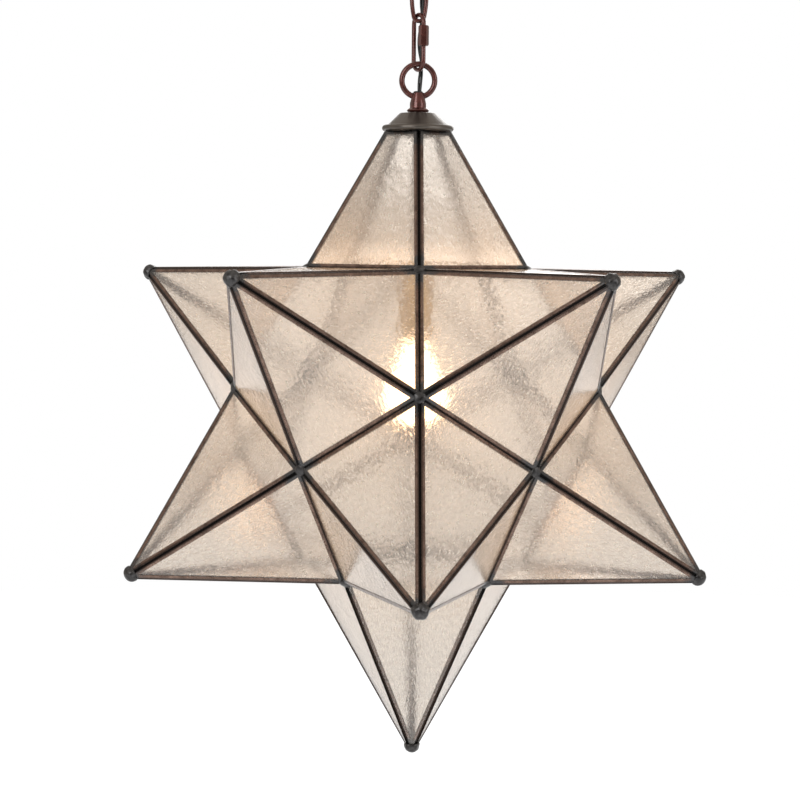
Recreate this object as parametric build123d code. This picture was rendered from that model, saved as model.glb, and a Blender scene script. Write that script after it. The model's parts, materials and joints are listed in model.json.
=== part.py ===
from build123d import *
from math import acos, atan, atan2, cos, degrees, hypot, pi, radians, sin, sqrt, tan
import os

# A twelve-pointed glass star that hangs from a ceiling canopy on two chain links, a screw link
# and a cast loop.  Millimetres, +Z up, origin on the ceiling plane in the middle of the canopy.
# The star is a dodecahedron with a five-sided glass point on every face.  Each glass panel sits
# in its own frame of U-shaped metal came, and the frames are soldered edge to edge.

# ---------------------------------------------------------------- driving sizes: star
panel_base = 137.0            # foot of a glass panel, which is the dodecahedron's edge
point_height = 181.0          # height of a point above its dodecahedron face
bottom_point_height = 190.5   # the bottom point is a little longer
came_face = 3.9               # width of the came seen from outside
came_thickness = 2.8          # depth of the came across the glass
came_web = 0.8                # metal behind the glass slot
glass_thickness = 1.8
glass_clearance = 0.1         # each side, between glass and came
came_gap = 0.1                # solder film between two frames
corner_blunt = 6.5            # the came's foot corners are cut this far from the node
tip_cut = 9.0                 # the came's tip ends this far below the true tip
tip_cap_rise = 8.2            # solder cap on a tip, above its seat
tip_cap_lap = 0.3             # how far the cap's foot stands past the came
tip_cap_swell = ((0, 1), (0.5, 0.86), (0.84, 0.58), (1, 0.3))   # shares of its rise and foot
node_crown = 4.2              # solder in a node, outward from the node
node_root = 2.4               # solder in a node, inward from the node

# Top point, open under the cap
top_point_height = 137.2      # from the upper face of the dodecahedron to the cap's rim
cap_opening = 27.4            # from the axis to the middle of a side of the opening
cap_solder_length = 9.0       # solder in each ridge groove under the cap
cap_solder_crown = 0.9        # how far it stands out of the groove
cap_solder_flat = 0.8         # its crown's width, as a share of the groove's

# Hinged panel for changing the bulb: the upward-facing panel of the upper point at the back
door_gap = 0.45               # extra room round the door's frame
door_corner_blunt = 9.0
door_tip_cut = 13.0
hinge_tube_radius = 1.9
hinge_pin_radius = 0.8
hinge_pin_clearance = 0.05
hinge_clearance = 0.3         # between a tube and the came that it turns past
hinge_knuckle_length = 9.0
hinge_knuckle_gap = 0.3
hinge_stations = (0.3, 0.68)  # along the ridge, as shares of its length
hinge_foot = 2.0              # height of a knuckle's soldered foot
hinge_foot_spread = 0.9       # half its width at the tube, as a share of the tube's radius
clip_station = 0.42           # up the free side, as a share of the ridge
clip_length = 12.0
clip_reach = 5.0
clip_thickness = 0.8
clip_clearance = 0.35
pull_radius = 5.0
pull_station = 0.36           # up the door's free side, as a share of its height
pull_wire_radius = 0.9

# ---------------------------------------------------------------- driving sizes: cap and loop
cap_top_radius = 18.5
cap_shoulder_radius = 30.5
cap_shoulder_drop = 12.0
cap_rim_radius = 35.9
cap_bead_radius = 3.2
cap_wall = 1.0
cap_edge = 0.8                # bevel round the cap's flat top
loop_ring_radius = 16.4       # centre line of the loop's ring
loop_wire_radius = 2.85
loop_mouth = 12.1             # from the ring's centre to the mouth of the neck
neck_length = 19.3
neck_mouth_radius = 5.9
neck_upper_radius = 6.8       # a quarter of the way down
neck_waist_radius = 8.3
neck_flange_radius = 11.4
neck_flange_height = 4.2
neck_flange_edge = 1.3        # how far its rounded edge draws in
wire_bore_radius = 4.2
cord_offset = 1.1             # the cord leans to one side of the neck's mouth
pipe_radius = 4.85            # threaded lamp pipe
pipe_bore_radius = 3.3
thread_clearance = 0.05
thread_depth = 11.0           # how far a pipe runs into a neck
washer_radius = 8.5
washer_height = 1.0
lock_nut_flats = 14.3
lock_nut_height = 4.0
bushing_rise = 1.6
bushing_radius = 4.7
bushing_edge = 0.8
bushing_shank = 3.0
cord_clearance = 0.1

# ---------------------------------------------------------------- driving sizes: lampholder
pipe_below_cap = 159.0        # from the cap's top to the end of the lamp pipe
socket_radius = 17.2
socket_wall = 0.7
socket_length = 54.0
socket_cap_height = 18.0
socket_collar_radius = 7.5
socket_collar_height = 9.0
socket_skirt = 3.0            # straight wall at the foot of the socket's cap
socket_lip = 1.4              # rolled edge at the open end of the shell
insulator_wall = 2.4
insulator_floor = 37.0        # from the shell's top to the lamp's contact
socket_clearance = 0.1
bulb_radius = 30.0
bulb_length = 108.0
bulb_base_radius = 13.1
bulb_base_length = 25.0
bulb_neck_radius = 13.2
bulb_wall = 1.2
bulb_seat_gap = 0.2
bulb_contact_radius = 4.6
bulb_contact_rise = 1.8
bulb_glass_rim = 4.4          # from the contact to the first thread
bulb_thread_pitch = 3.6
bulb_thread_depth = 0.9
bulb_threads = range(4)

# ---------------------------------------------------------------- driving sizes: chain
link_wire_radius = 2.15
link_inner_length = 47.0
link_half_width = 7.35        # centre line, at mid-length
link_end_radius = 5.25        # centre line
screw_link_wire_radius = 2.25
screw_link_inner_length = 50.0
screw_link_bend_radius = 9.0
screw_link_turn = 31.0        # degrees from square to the link above
screw_gap = 6.5               # mouth of the screw link
screw_gap_drop = 7.0          # from the end of the bend to the mouth
sleeve_flats = 9.2
sleeve_length = 20.4
sleeve_top_drop = 2.1         # from the end of the bend to the closed sleeve
sleeve_clearance = 0.07
sleeve_chamfer = 1.2
sleeve_end_inset = 0.3        # the rounded end's flat stays this far inside the flats
seat_gap = 0.3                # between any two links at rest
skew_seat_upper = 1.5         # the turned link rides this much higher in the link above
skew_seat_lower = 0.3         # and the ring rides this much higher in it

# ---------------------------------------------------------------- driving sizes: canopy
canopy_radius = 63.5
canopy_depth = 25.0
canopy_wall = 1.2
canopy_lip = 4.0
canopy_crown_radius = 24.0
collar_radius = 16.5
collar_height = 8.0
collar_grips = 20
collar_grip_radius = 1.1
canopy_neck_radius = 10.5
canopy_neck_length = 22.0
canopy_neck_drop = 19.0       # top of the loop's neck below the ceiling
canopy_neck_mouth_radius = 7.1
canopy_neck_taper = 3.6
canopy_clearance = 0.2
crossbar_length = 106.0
crossbar_width = 16.0
crossbar_thickness = 2.5
box_screw_spacing = 88.9
box_screw_hole_radius = 2.4
nipple_rise = 6.5
lead_split_drop = 5.0         # above the nipple's lower end, the cord parts into two leads
connector_height = 19.0
connector_radius = 4.6
connector_tip_radius = 2.6
connector_spread = 9.0
connector_base_height = 30.0
lead_radius = 1.2
lead_clearance = 0.05
lead_bend_height = 24.0       # where a lead turns up into its connector
lead_entry = 6.0              # how far it runs into the connector
cord_radius = 2.4
cord_straight_drop = 7.0      # straight run under the canopy loop's mouth
cord_dip = 6.5                # straight run above the star's mouth
cord_tail = 8.0               # and below it, into the neck

# ---------------------------------------------------------------- worked out: the points
fifth = 360 / 5                                         # turn from one panel or point to the next
golden = (1 + sqrt(5)) / 2
face_tilt = atan(0.5)                                   # upper ring of faces above the horizon
inradius = panel_base / 2 * sqrt((25 + 11 * sqrt(5)) / 10)
foot_apothem = panel_base / (2 * tan(radians(fifth / 2)))
foot_radius = panel_base / (2 * sin(radians(fifth / 2)))
slant = hypot(foot_apothem, point_height)
ridge = hypot(foot_radius, point_height)
half_depth = came_thickness / 2
slot_depth = glass_thickness / 2 + glass_clearance

top_virtual_height = top_point_height * foot_apothem / (foot_apothem - cap_opening)
top_slant = hypot(foot_apothem, top_virtual_height)


def half_ridge_angle(height, slant_height):
    """Half the angle inside a point between two of its panels, in radians."""
    between = (height**2 * cos(radians(fifth)) + foot_apothem**2) / slant_height**2
    return (radians(180) - acos(between)) / 2


bottom_slant = hypot(foot_apothem, bottom_point_height)
ridge_half = half_ridge_angle(point_height, slant)
bottom_ridge_half = half_ridge_angle(bottom_point_height, bottom_slant)
top_ridge_half = half_ridge_angle(top_virtual_height, top_slant)
lean = atan2(point_height, foot_apothem)
top_lean = atan2(top_virtual_height, foot_apothem)
valley_half = (radians(360) - 2 * atan(golden) - lean - top_lean) / 2
side_set_back = half_depth / tan(ridge_half) + came_gap / 2
bottom_side_set_back = half_depth / tan(bottom_ridge_half) + came_gap / 2
top_side_set_back = half_depth / tan(top_ridge_half) + came_gap / 2
foot_set_back = half_depth / tan(valley_half) + came_gap / 2
groove_half_width = side_set_back * sin(ridge_half) + half_depth * cos(ridge_half)
groove_edge_rise = half_depth * sin(ridge_half) - side_set_back * cos(ridge_half)
hinge_centre_rise = groove_edge_rise + sqrt(
    (hinge_tube_radius + hinge_clearance)**2 - groove_half_width**2)
top_edge = (top_point_height - half_depth * foot_apothem / top_slant) * top_slant / top_virtual_height

# ---------------------------------------------------------------- worked out: heights
canopy_loop_mouth_z = -canopy_neck_drop - canopy_neck_length
canopy_ring_z = canopy_loop_mouth_z - loop_mouth
swing_1_z = canopy_ring_z - loop_ring_radius
link_1_top_z = swing_1_z + loop_wire_radius + seat_gap            # inside of its upper end
swing_2_z = link_1_top_z - link_inner_length - link_wire_radius
link_2_top_z = swing_2_z + link_wire_radius + seat_gap
swing_3_z = link_2_top_z - link_inner_length - link_wire_radius
screw_link_top_z = swing_3_z + link_wire_radius + seat_gap + skew_seat_upper
swing_4_z = screw_link_top_z - screw_link_inner_length - screw_link_wire_radius
star_ring_z = (swing_4_z + screw_link_wire_radius + seat_gap + skew_seat_lower
               - loop_ring_radius + loop_wire_radius)
star_mouth_z = star_ring_z - loop_mouth
flange_z = star_mouth_z - neck_length
cap_top_z = flange_z - washer_height
cap_rim_z = cap_top_z - cap_shoulder_drop - 2 * cap_bead_radius
star_z = cap_rim_z - top_point_height - inradius
pipe_end_z = cap_top_z - pipe_below_cap
pipe_top_z = flange_z + thread_depth
socket_top_z = pipe_end_z + socket_collar_height
shell_top_z = socket_top_z - socket_cap_height
shell_end_z = shell_top_z - socket_length
bulb_top_z = shell_top_z - insulator_floor - bulb_seat_gap
bulb_end_z = bulb_top_z - bulb_length


# ---------------------------------------------------------------- helpers
def save(shapes, node):
    """Write one node: one solid, or a group of separate ones."""
    shapes = list(shapes) if isinstance(shapes, (list, tuple)) else [shapes]
    solids = [solid for shape in shapes for solid in shape.solids()]
    export_step(solids[0] if len(solids) == 1 else Compound(solids), f"parts/{node}.step")


def turned(points):
    """Revolve a closed outline of (radius, z) points about the Z axis."""
    outline = Polyline(*[(r, 0, z) for r, z in points], close=True)
    return revolve(make_face(outline), Axis.Z)


def tube(outer, inner, low, high):
    return Pos(0, 0, low) * extrude(Circle(outer) - Circle(inner), high - low)


def drill(radius, low, high):
    return Pos(0, 0, low) * extrude(Circle(radius), high - low)


def hex_nut(flats, bore, height):
    blank = RegularPolygon(flats / 2, 6, major_radius=False) - Circle(bore)
    return extrude(blank, height)


def rod(edges, radius):
    """A round rod along edges that meet tangentially."""
    pieces = [sweep(Plane(origin=e @ 0, z_dir=e % 0) * Circle(radius), path=e) for e in edges]
    return pieces[0].fuse(*pieces[1:]) if len(pieces) > 1 else pieces[0]


def panel_outline(slant_height, foot_inset, side_inset, top_y=None):
    """Corners of a panel set in from its true edges; X along the foot, Y up the slant."""
    edge = hypot(slant_height, panel_base / 2)

    def half_width(y):
        return (slant_height - y) * panel_base / 2 / slant_height - side_inset * edge / slant_height

    foot = [(-half_width(foot_inset), foot_inset), (half_width(foot_inset), foot_inset)]
    if top_y is None:
        return foot + [(0, slant_height - 2 * side_inset * edge / panel_base)]
    return foot + [(half_width(top_y), top_y), (-half_width(top_y), top_y)]


def flat(points):
    return make_face(Polyline(*points, close=True))


def blunt_corners(slant_height, reach):
    """What is cut off the two foot corners, square to their bisectors."""
    half_corner = degrees(atan2(slant_height, panel_base / 2)) / 2
    cutter = Rectangle(2 * reach, 8 * reach)
    right = Pos(panel_base / 2, 0) * Rot(0, 0, 180 - half_corner) * cutter
    left = Pos(-panel_base / 2, 0) * Rot(0, 0, half_corner) * cutter
    return [left, right]


def came_frame(slant_height, side_inset, foot_inset, top_y=None, blunt=corner_blunt):
    """The mitred U-shaped strips round one panel, in the panel's own plane."""
    def ring(inset):
        top = None if top_y is None else top_y - inset
        return panel_outline(slant_height, foot_inset + inset, side_inset + inset, top)

    outer, web, inner, past = ring(0), ring(came_web), ring(came_face), ring(came_face + 1)
    cutters = blunt_corners(slant_height, blunt)
    strips = []
    for i in range(len(outer)):
        j = (i + 1) % len(outer)
        face = flat([outer[i], outer[j], inner[j], inner[i]]) - cutters
        slot = flat([web[i], web[j], past[j], past[i]])
        strips.append(extrude(face, half_depth, both=True) - extrude(slot, slot_depth, both=True))
    return strips


def glass_panel(slant_height, side_inset, foot_inset, top_y=None, blunt=corner_blunt):
    """A glass panel that fills its came to just short of the web."""
    room = came_web + glass_clearance
    top = None if top_y is None else top_y - room
    face = flat(panel_outline(slant_height, foot_inset + room, side_inset + room, top))
    face -= blunt_corners(slant_height, blunt + glass_clearance)
    return extrude(face, glass_thickness / 2, both=True)


# ---------------------------------------------------------------- where the twelve points stand
def point_place(azimuth, tilt, foot_down):
    """Place of a point: its axis outward, X towards the foot that faces up or down."""
    a = radians(azimuth)
    axis = Vector(cos(tilt) * cos(a), cos(tilt) * sin(a), sin(tilt))
    up = Vector(-sin(tilt) * cos(a), -sin(tilt) * sin(a), cos(tilt))
    return Plane(origin=(0, 0, star_z), x_dir=-up if foot_down else up, z_dir=axis).location


upper_azimuths = [90 + fifth * i for i in range(5)]
lower_azimuths = [-90 + fifth * i for i in range(5)]
top_place = Plane(origin=(0, 0, star_z), x_dir=(0, 1, 0), z_dir=(0, 0, 1)).location
bottom_place = Plane(origin=(0, 0, star_z), x_dir=(0, -1, 0), z_dir=(0, 0, -1)).location
places = {f"upper_point_{i + 1}": point_place(a, face_tilt, False)
          for i, a in enumerate(upper_azimuths)}
places |= {f"lower_point_{i + 1}": point_place(a, -face_tilt, True)
           for i, a in enumerate(lower_azimuths)}
places["bottom_point"] = bottom_place
door_place = places["upper_point_1"]


def panel_place(height, slant_height):
    """Plane of panel 0 in its point's frame: origin in the middle of the foot."""
    return Plane(origin=(foot_apothem, 0, inradius), x_dir=(0, 1, 0),
                 z_dir=(height / slant_height, 0, foot_apothem / slant_height)).location


def cut_tip(shape, height, cut):
    low = inradius + height - cut
    return shape - Pos(0, 0, low + panel_base / 2) * Box(panel_base, panel_base, panel_base)


def five(shapes, skip=()):
    return [Rot(0, 0, fifth * k) * s for k in range(5) if k not in skip for s in shapes]


# ---------------------------------------------------------------- glass and came
def pointed_panel(height, side_inset, extra=0, blunt=corner_blunt, cut=tip_cut):
    """Came strips and glass of one panel that runs up to a tip, in its point's frame."""
    slant_height = hypot(foot_apothem, height)
    place = panel_place(height, slant_height)
    insets = (side_inset + extra, foot_set_back + extra)
    strips = came_frame(slant_height, *insets, blunt=blunt)
    pane = glass_panel(slant_height, *insets, blunt=blunt)
    return ([cut_tip(place * s, height, cut) for s in strips],
            cut_tip(place * pane, height, cut + glass_clearance))


standard = panel_place(point_height, slant)
came, glass = pointed_panel(point_height, side_set_back)
bottom_came, bottom_glass = pointed_panel(bottom_point_height, bottom_side_set_back)
door_came, door_glass = pointed_panel(point_height, side_set_back, door_gap, door_corner_blunt,
                                      door_tip_cut)

top_panel = panel_place(top_virtual_height, top_slant)
top_came = [top_panel * s for s in came_frame(top_slant, top_side_set_back, foot_set_back, top_edge)]
top_glass = top_panel * glass_panel(top_slant, top_side_set_back, foot_set_back, top_edge)


def make_points():
    for name, place in places.items():
        skip = (0,) if place is door_place else ()
        strips, pane = (bottom_came, bottom_glass) if place is bottom_place else (came, glass)
        save([place * s for s in five([pane], skip)], f"glass_{name}")
        save([place * s for s in five(strips, skip)], f"came_{name}")
    save([top_place * s for s in five([top_glass])], "glass_top_point")
    save([top_place * s for s in five(top_came)], "came_top_point")
    save(door_place * door_glass, "door_glass")
    save([door_place * s for s in door_came], "door_came")


# ---------------------------------------------------------------- solder
def tip_cap(height):
    """Five-sided solder cap seated on the cut ends of the came at a tip."""
    seat = inradius + height - tip_cut
    foot = (tip_cut * foot_apothem + half_depth * hypot(foot_apothem, height)) / height + tip_cap_lap
    faces = [Pos(0, 0, seat + up * tip_cap_rise) * Rot(0, 0, fifth / 2)
             * RegularPolygon(out * foot, 5, major_radius=False) for up, out in tip_cap_swell]
    return loft(faces, ruled=True)


def unit(vector):
    return vector * (1 / vector.length)


def face_axes():
    axes = [Vector(0, 0, 1), Vector(0, 0, -1)]
    for tilt, azimuths in ((face_tilt, upper_azimuths), (-face_tilt, lower_azimuths)):
        axes += [Vector(cos(tilt) * cos(radians(a)), cos(tilt) * sin(radians(a)), sin(tilt))
                 for a in azimuths]
    return axes


def star_nodes():
    """The twenty corners where three points meet, each with its three face axes."""
    axes = face_axes()
    radius = hypot(inradius, foot_radius)
    triples = [(a, b, c) for i, a in enumerate(axes) for j, b in enumerate(axes[:i])
               for c in axes[:j] if min(a.dot(b), b.dot(c), a.dot(c)) > 0]
    return [(unit(a + b + c) * radius, (a, b, c)) for a, b, c in triples]


def node_solder(node, axes):
    """Solder that fills the corner between six blunt came corners."""
    outward = unit(node)
    half_corner = radians(90 - fifth / 2)        # half a corner of the dodecahedron's face
    blank = Plane(origin=node, z_dir=outward) * Pos(0, 0, (node_crown - node_root) / 2) * Box(
        4 * corner_blunt, 4 * corner_blunt, node_crown + node_root)
    for axis in axes:
        foot_middle = axis * inradius
        height = {1: top_virtual_height, -1: bottom_point_height}.get(round(axis.Z, 6), point_height)
        ridge_way = unit(foot_middle + axis * height - node)
        to_middle = unit(foot_middle - node)
        across = axis.cross(to_middle)
        for side in (1, -1):
            edge_way = to_middle * cos(half_corner) + across * (side * sin(half_corner))
            bisector = unit(ridge_way + edge_way)
            block = Plane(origin=node + bisector * corner_blunt, z_dir=bisector)
            blank -= block * Pos(0, 0, 4 * corner_blunt) * Box(
                9 * corner_blunt, 9 * corner_blunt, 8 * corner_blunt)
    return Pos(0, 0, star_z) * blank


def ridge_plane(height, turn):
    """Frame on a ridge: origin at its foot, Z to the tip, X outward, Y to the next panel."""
    foot = Vector(foot_radius * cos(radians(turn)), foot_radius * sin(radians(turn)), inradius)
    tip = Vector(0, 0, inradius + height)
    along = unit(tip - foot)
    radial = Vector(cos(radians(turn)), sin(radians(turn)), 0)
    return Plane(origin=foot, x_dir=unit(radial - along * radial.dot(along)), z_dir=along)


def cap_solder():
    """Solder run in the five ridge grooves, under the cap's rim."""
    half = top_ridge_half
    way = Vector(-cos(half), sin(half))
    normal = Vector(sin(half), cos(half))
    corner = way * top_side_set_back + normal * half_depth
    root = way * top_side_set_back - normal * half_depth
    top, out = corner.X + cap_solder_crown, cap_solder_flat * corner.Y
    profile = flat([(root.X, root.Y), (corner.X, corner.Y), (top, out), (top, -out),
                    (corner.X, -corner.Y), (root.X, -root.Y)])
    plane = ridge_plane(top_virtual_height, fifth / 2)
    length = hypot(foot_radius, top_virtual_height) * top_point_height / top_virtual_height
    run = plane * (Pos(0, 0, length - 2 * cap_solder_length) * extrude(profile, 2 * cap_solder_length))
    run -= Pos(0, 0, inradius + top_point_height + panel_base / 2) * Box(*[panel_base] * 3)
    low = inradius + top_point_height - cap_solder_length
    run -= Pos(0, 0, low - panel_base / 2) * Box(*[panel_base] * 3)
    return [top_place * s for s in five([run])]


def make_solder():
    caps = [place * tip_cap(bottom_point_height if place is bottom_place else point_height)
            for place in places.values()]
    nodes = [node_solder(node, axes) for node, axes in star_nodes()]
    save(caps + nodes + cap_solder(), "solder_joints")


# ---------------------------------------------------------------- hinged panel
hinge_side = ridge_plane(point_height, -fifth / 2)
free_side = ridge_plane(point_height, fifth / 2)


def edge_corners(side, extra):
    """Outer corner and way down a came's outer edge, beside a ridge; side is +1 or -1."""
    way = Vector(-cos(ridge_half), side * sin(ridge_half))
    normal = Vector(sin(ridge_half), side * cos(ridge_half))
    return way * (side_set_back + extra) + normal * half_depth, normal


def knuckle(side, extra, low, high):
    """A hinge tube with the foot that is soldered to a came's outer edge."""
    centre = Vector(hinge_centre_rise, 0)
    corner, normal = edge_corners(side, extra)
    lower = corner - normal * hinge_foot
    reach = (corner + lower) * 0.5 - centre
    across = Vector(-reach.Y, reach.X) * (hinge_foot_spread * hinge_tube_radius / reach.length)
    if across.dot(corner - lower) < 0:
        across = -across
    top, bottom = centre + across, centre - across
    foot = flat([(v.X, v.Y) for v in (corner, lower, bottom, top)])
    disc = Pos(hinge_centre_rise, 0) * Circle(hinge_tube_radius)
    bore = Pos(hinge_centre_rise, 0) * Circle(hinge_pin_radius + hinge_pin_clearance)
    return hinge_side * (Pos(0, 0, low) * extrude(disc + foot - bore, high - low))


def make_hinge():
    length, gap = hinge_knuckle_length, hinge_knuckle_gap
    door_tubes, fixed_tubes, pins = [], [], []
    for station in hinge_stations:
        middle = station * ridge
        door_tubes.append(knuckle(1, door_gap, middle - length / 2, middle + length / 2))
        for low in (middle - 1.5 * length - gap, middle + length / 2 + gap):
            fixed_tubes.append(knuckle(-1, 0, low, low + length))
        reach = 1.5 * length + gap
        pins.append(hinge_side * (Pos(hinge_centre_rise, 0, middle - reach)
                                  * extrude(Circle(hinge_pin_radius), 2 * reach)))
    save([door_place * s for s in door_tubes], "door_hinge_tubes")
    save([door_place * s for s in fixed_tubes], "star_hinge_tubes")
    save([door_place * s for s in pins], "hinge_pins")


def make_door_fittings():
    """The spring clip that the closed door rests on, and the wire pull that lifts it."""
    way, away = Vector(-cos(ridge_half), sin(ridge_half)), Vector(-cos(ridge_half), -sin(ridge_half))
    normal = Vector(sin(ridge_half), cos(ridge_half))
    door_normal = Vector(sin(ridge_half), -cos(ridge_half))
    root = Vector(-half_depth / sin(ridge_half), 0)
    drop = Vector(-clip_clearance / sin(ridge_half), 0)
    under = Vector(-clip_thickness / sin(ridge_half), 0)
    points = [root + way * clip_reach, root + way * clip_clearance, root + drop,
              root + drop + away * clip_reach,
              root + drop + away * clip_reach - door_normal * clip_thickness,
              root + drop + under, root + way * clip_reach - normal * clip_thickness]
    profile = flat([(v.X, v.Y) for v in points])
    clip = free_side * (Pos(0, 0, clip_station * ridge - clip_length / 2)
                        * extrude(profile, clip_length))
    save(door_place * clip, "door_clip")

    height = pull_station * slant
    across = side_set_back + door_gap + came_face / 2
    edge = hypot(slant, panel_base / 2)
    middle = (slant - height) * panel_base / 2 / slant - across * edge / slant
    stand = Plane(origin=(middle, height, half_depth), x_dir=(-panel_base / 2, slant, 0),
                  z_dir=(0, 0, 1))
    arc = CenterArc((0, 0, 0), pull_radius, 0, 180)
    hoop = Rot(90, 0, 0) * rod([arc], pull_wire_radius)
    save(door_place * (standard * (stand * hoop)), "door_pull")


# ---------------------------------------------------------------- cap, loop and lampholder
def loop_neck():
    """The neck of a cast loop, mouth at z = 0 and flange below."""
    z = neck_flange_height
    foot = -neck_length
    edge = neck_flange_radius - neck_flange_edge
    return turned([(0, 0), (neck_mouth_radius, 0), (neck_upper_radius, -0.25 * neck_length),
                   (neck_waist_radius, -0.55 * neck_length), (neck_waist_radius, foot + z),
                   (edge, foot + 0.75 * z), (neck_flange_radius, foot + 0.4 * z),
                   (edge, foot), (0, foot)])


def make_loop():
    ring = Plane.XZ * Torus(loop_ring_radius, loop_wire_radius)
    neck = Pos(0, 0, -loop_mouth) * loop_neck()
    depth = thread_depth + thread_clearance
    foot = -loop_mouth - neck_length
    bore = drill(wire_bore_radius, foot, -loop_mouth + loop_wire_radius)
    thread = drill(pipe_radius + thread_clearance, foot, foot + depth)
    save(Pos(0, 0, star_ring_z) * (ring + neck - bore - thread), "hanging_loop")


def make_bushing():
    """Black wire bushing in the mouth of the neck, with its hole to one side."""
    shank = wire_bore_radius - thread_clearance
    shape = turned([(0, -bushing_shank), (shank, -bushing_shank), (shank, 0), (bushing_radius, 0),
                    (bushing_radius, bushing_rise - bushing_edge),
                    (bushing_radius - bushing_edge, bushing_rise), (0, bushing_rise)])
    hole = Pos(cord_offset, 0) * drill(cord_radius + cord_clearance, -bushing_shank, bushing_rise)
    save(Pos(0, 0, star_mouth_z) * (shape - hole), "wire_bushing")


def make_cap():
    top, wall = cap_top_z, cap_wall
    shoulder = top - cap_shoulder_drop
    hole = pipe_radius + thread_clearance
    bead_radius = cap_rim_radius - cap_bead_radius
    shell = turned([(hole, top), (cap_top_radius - cap_edge, top),
                    (cap_top_radius, top - cap_edge / 2), (cap_shoulder_radius, shoulder),
                    (bead_radius, shoulder), (bead_radius, shoulder - wall),
                    (cap_shoulder_radius - wall, shoulder - wall),
                    (cap_top_radius - wall, top - wall), (hole, top - wall)])
    bead = Pos(0, 0, shoulder - cap_bead_radius) * Torus(bead_radius, cap_bead_radius)
    save(shell + bead, "vase_cap")
    save(tube(washer_radius, hole, cap_top_z, flange_z), "cap_washer")
    nut = hex_nut(lock_nut_flats, hole, lock_nut_height)
    save(Pos(0, 0, cap_top_z - wall - lock_nut_height) * nut, "cap_lock_nut")
    save(tube(pipe_radius, pipe_bore_radius, pipe_end_z, pipe_top_z), "lamp_pipe")


def make_socket():
    hole = pipe_radius + thread_clearance
    top, base = socket_top_z, shell_top_z
    wall, collar_end = socket_wall, top - socket_collar_height
    dome = turned([(hole, top), (socket_collar_radius, top), (socket_collar_radius, collar_end + wall),
                   (socket_radius, base + socket_skirt), (socket_radius, base),
                   (socket_radius - wall, base), (socket_radius - wall, base + socket_skirt - wall),
                   (socket_collar_radius - wall, collar_end), (hole, collar_end)])
    save(dome, "socket_cap")
    outer, lip = socket_radius, socket_lip
    shell = turned([(outer, base), (outer, shell_end_z + lip), (outer - lip / 2, shell_end_z),
                    (outer - lip, shell_end_z), (outer - wall, shell_end_z + lip / 2),
                    (outer - wall, base)])
    save(shell, "socket_shell")
    rim = outer - wall - socket_clearance
    inner = rim - insulator_wall
    floor, end = base - insulator_floor, shell_end_z + 1.5 * lip
    liner = turned([(0, base), (rim, base), (rim, end), (inner, end), (inner, floor), (0, floor)])
    save(liner, "socket_liner")


def bulb_envelope(radius, neck):
    """Half outline of the bulb: a ball and the hollow arc that draws it in to its neck."""
    ball_z, neck_z = bulb_end_z + bulb_radius, bulb_top_z - bulb_base_length
    rise = neck_z - ball_z
    hollow = (neck**2 + rise**2 - radius**2) / (2 * (radius - neck))
    join = degrees(atan2(rise, neck + hollow))
    ball = CenterArc((0, ball_z), radius, -90, 90 + join)
    side = CenterArc((neck + hollow, neck_z), hollow, 180, join)
    axis = Polyline((neck, neck_z), (0, neck_z), (0, ball_z - radius))
    return Plane.XZ * make_face([*ball.edges(), *side.edges(), *axis.edges()])


def make_bulb():
    """The lamp: a screw base with its contact, and a thin glass envelope."""
    top, r = bulb_top_z, bulb_base_radius
    first = top - bulb_glass_rim
    threads = []
    for turn in bulb_threads:
        z = first - bulb_thread_pitch * (turn + 0.5)
        threads += [(r, z), (r - bulb_thread_depth, z - bulb_thread_pitch / 2)]
    shell = turned([(0, top), (bulb_contact_radius - bulb_contact_rise, top),
                    (bulb_contact_radius, top - bulb_contact_rise), (r - bulb_contact_rise, first),
                    *threads, (r, top - bulb_base_length), (0, top - bulb_base_length)])
    save(shell, "bulb_base")
    outside = revolve(bulb_envelope(bulb_radius, bulb_neck_radius), Axis.Z)
    inside = revolve(bulb_envelope(bulb_radius - bulb_wall, bulb_neck_radius - bulb_wall), Axis.Z)
    save(outside - inside, "bulb_glass")


# ---------------------------------------------------------------- chain
def oval_link():
    """A chain link in the XZ plane about its centre: two small end arcs, two long side arcs."""
    end_z = link_inner_length / 2 + link_wire_radius - link_end_radius
    half, end = link_half_width, link_end_radius
    side = (end_z**2 + half**2 - end**2) / (2 * (half - end))
    slope = degrees(atan2(end_z, side - half))
    edges = []
    for turn in (0, 180):
        place = Rot(0, 0, turn)
        edges.append(place * CenterArc((half - side, 0, 0), side, -slope, 2 * slope))
        edges.append(place * CenterArc((0, end_z, 0), end, slope, 180 - 2 * slope))
    return Plane.XZ * rod([e.edges()[0] for e in edges], link_wire_radius)


def make_chain():
    middle = link_inner_length / 2
    link = oval_link()
    save(Pos(0, 0, link_1_top_z - middle) * Rot(0, 0, 90) * link, "upper_chain_link")
    save(Pos(0, 0, link_2_top_z - middle) * link, "lower_chain_link")


screw_leg = screw_link_inner_length + 2 * screw_link_wire_radius - 2 * screw_link_bend_radius
screw_place = Location((0, 0, screw_link_top_z - screw_link_inner_length / 2), (0, 0, screw_link_turn - 90))


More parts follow.
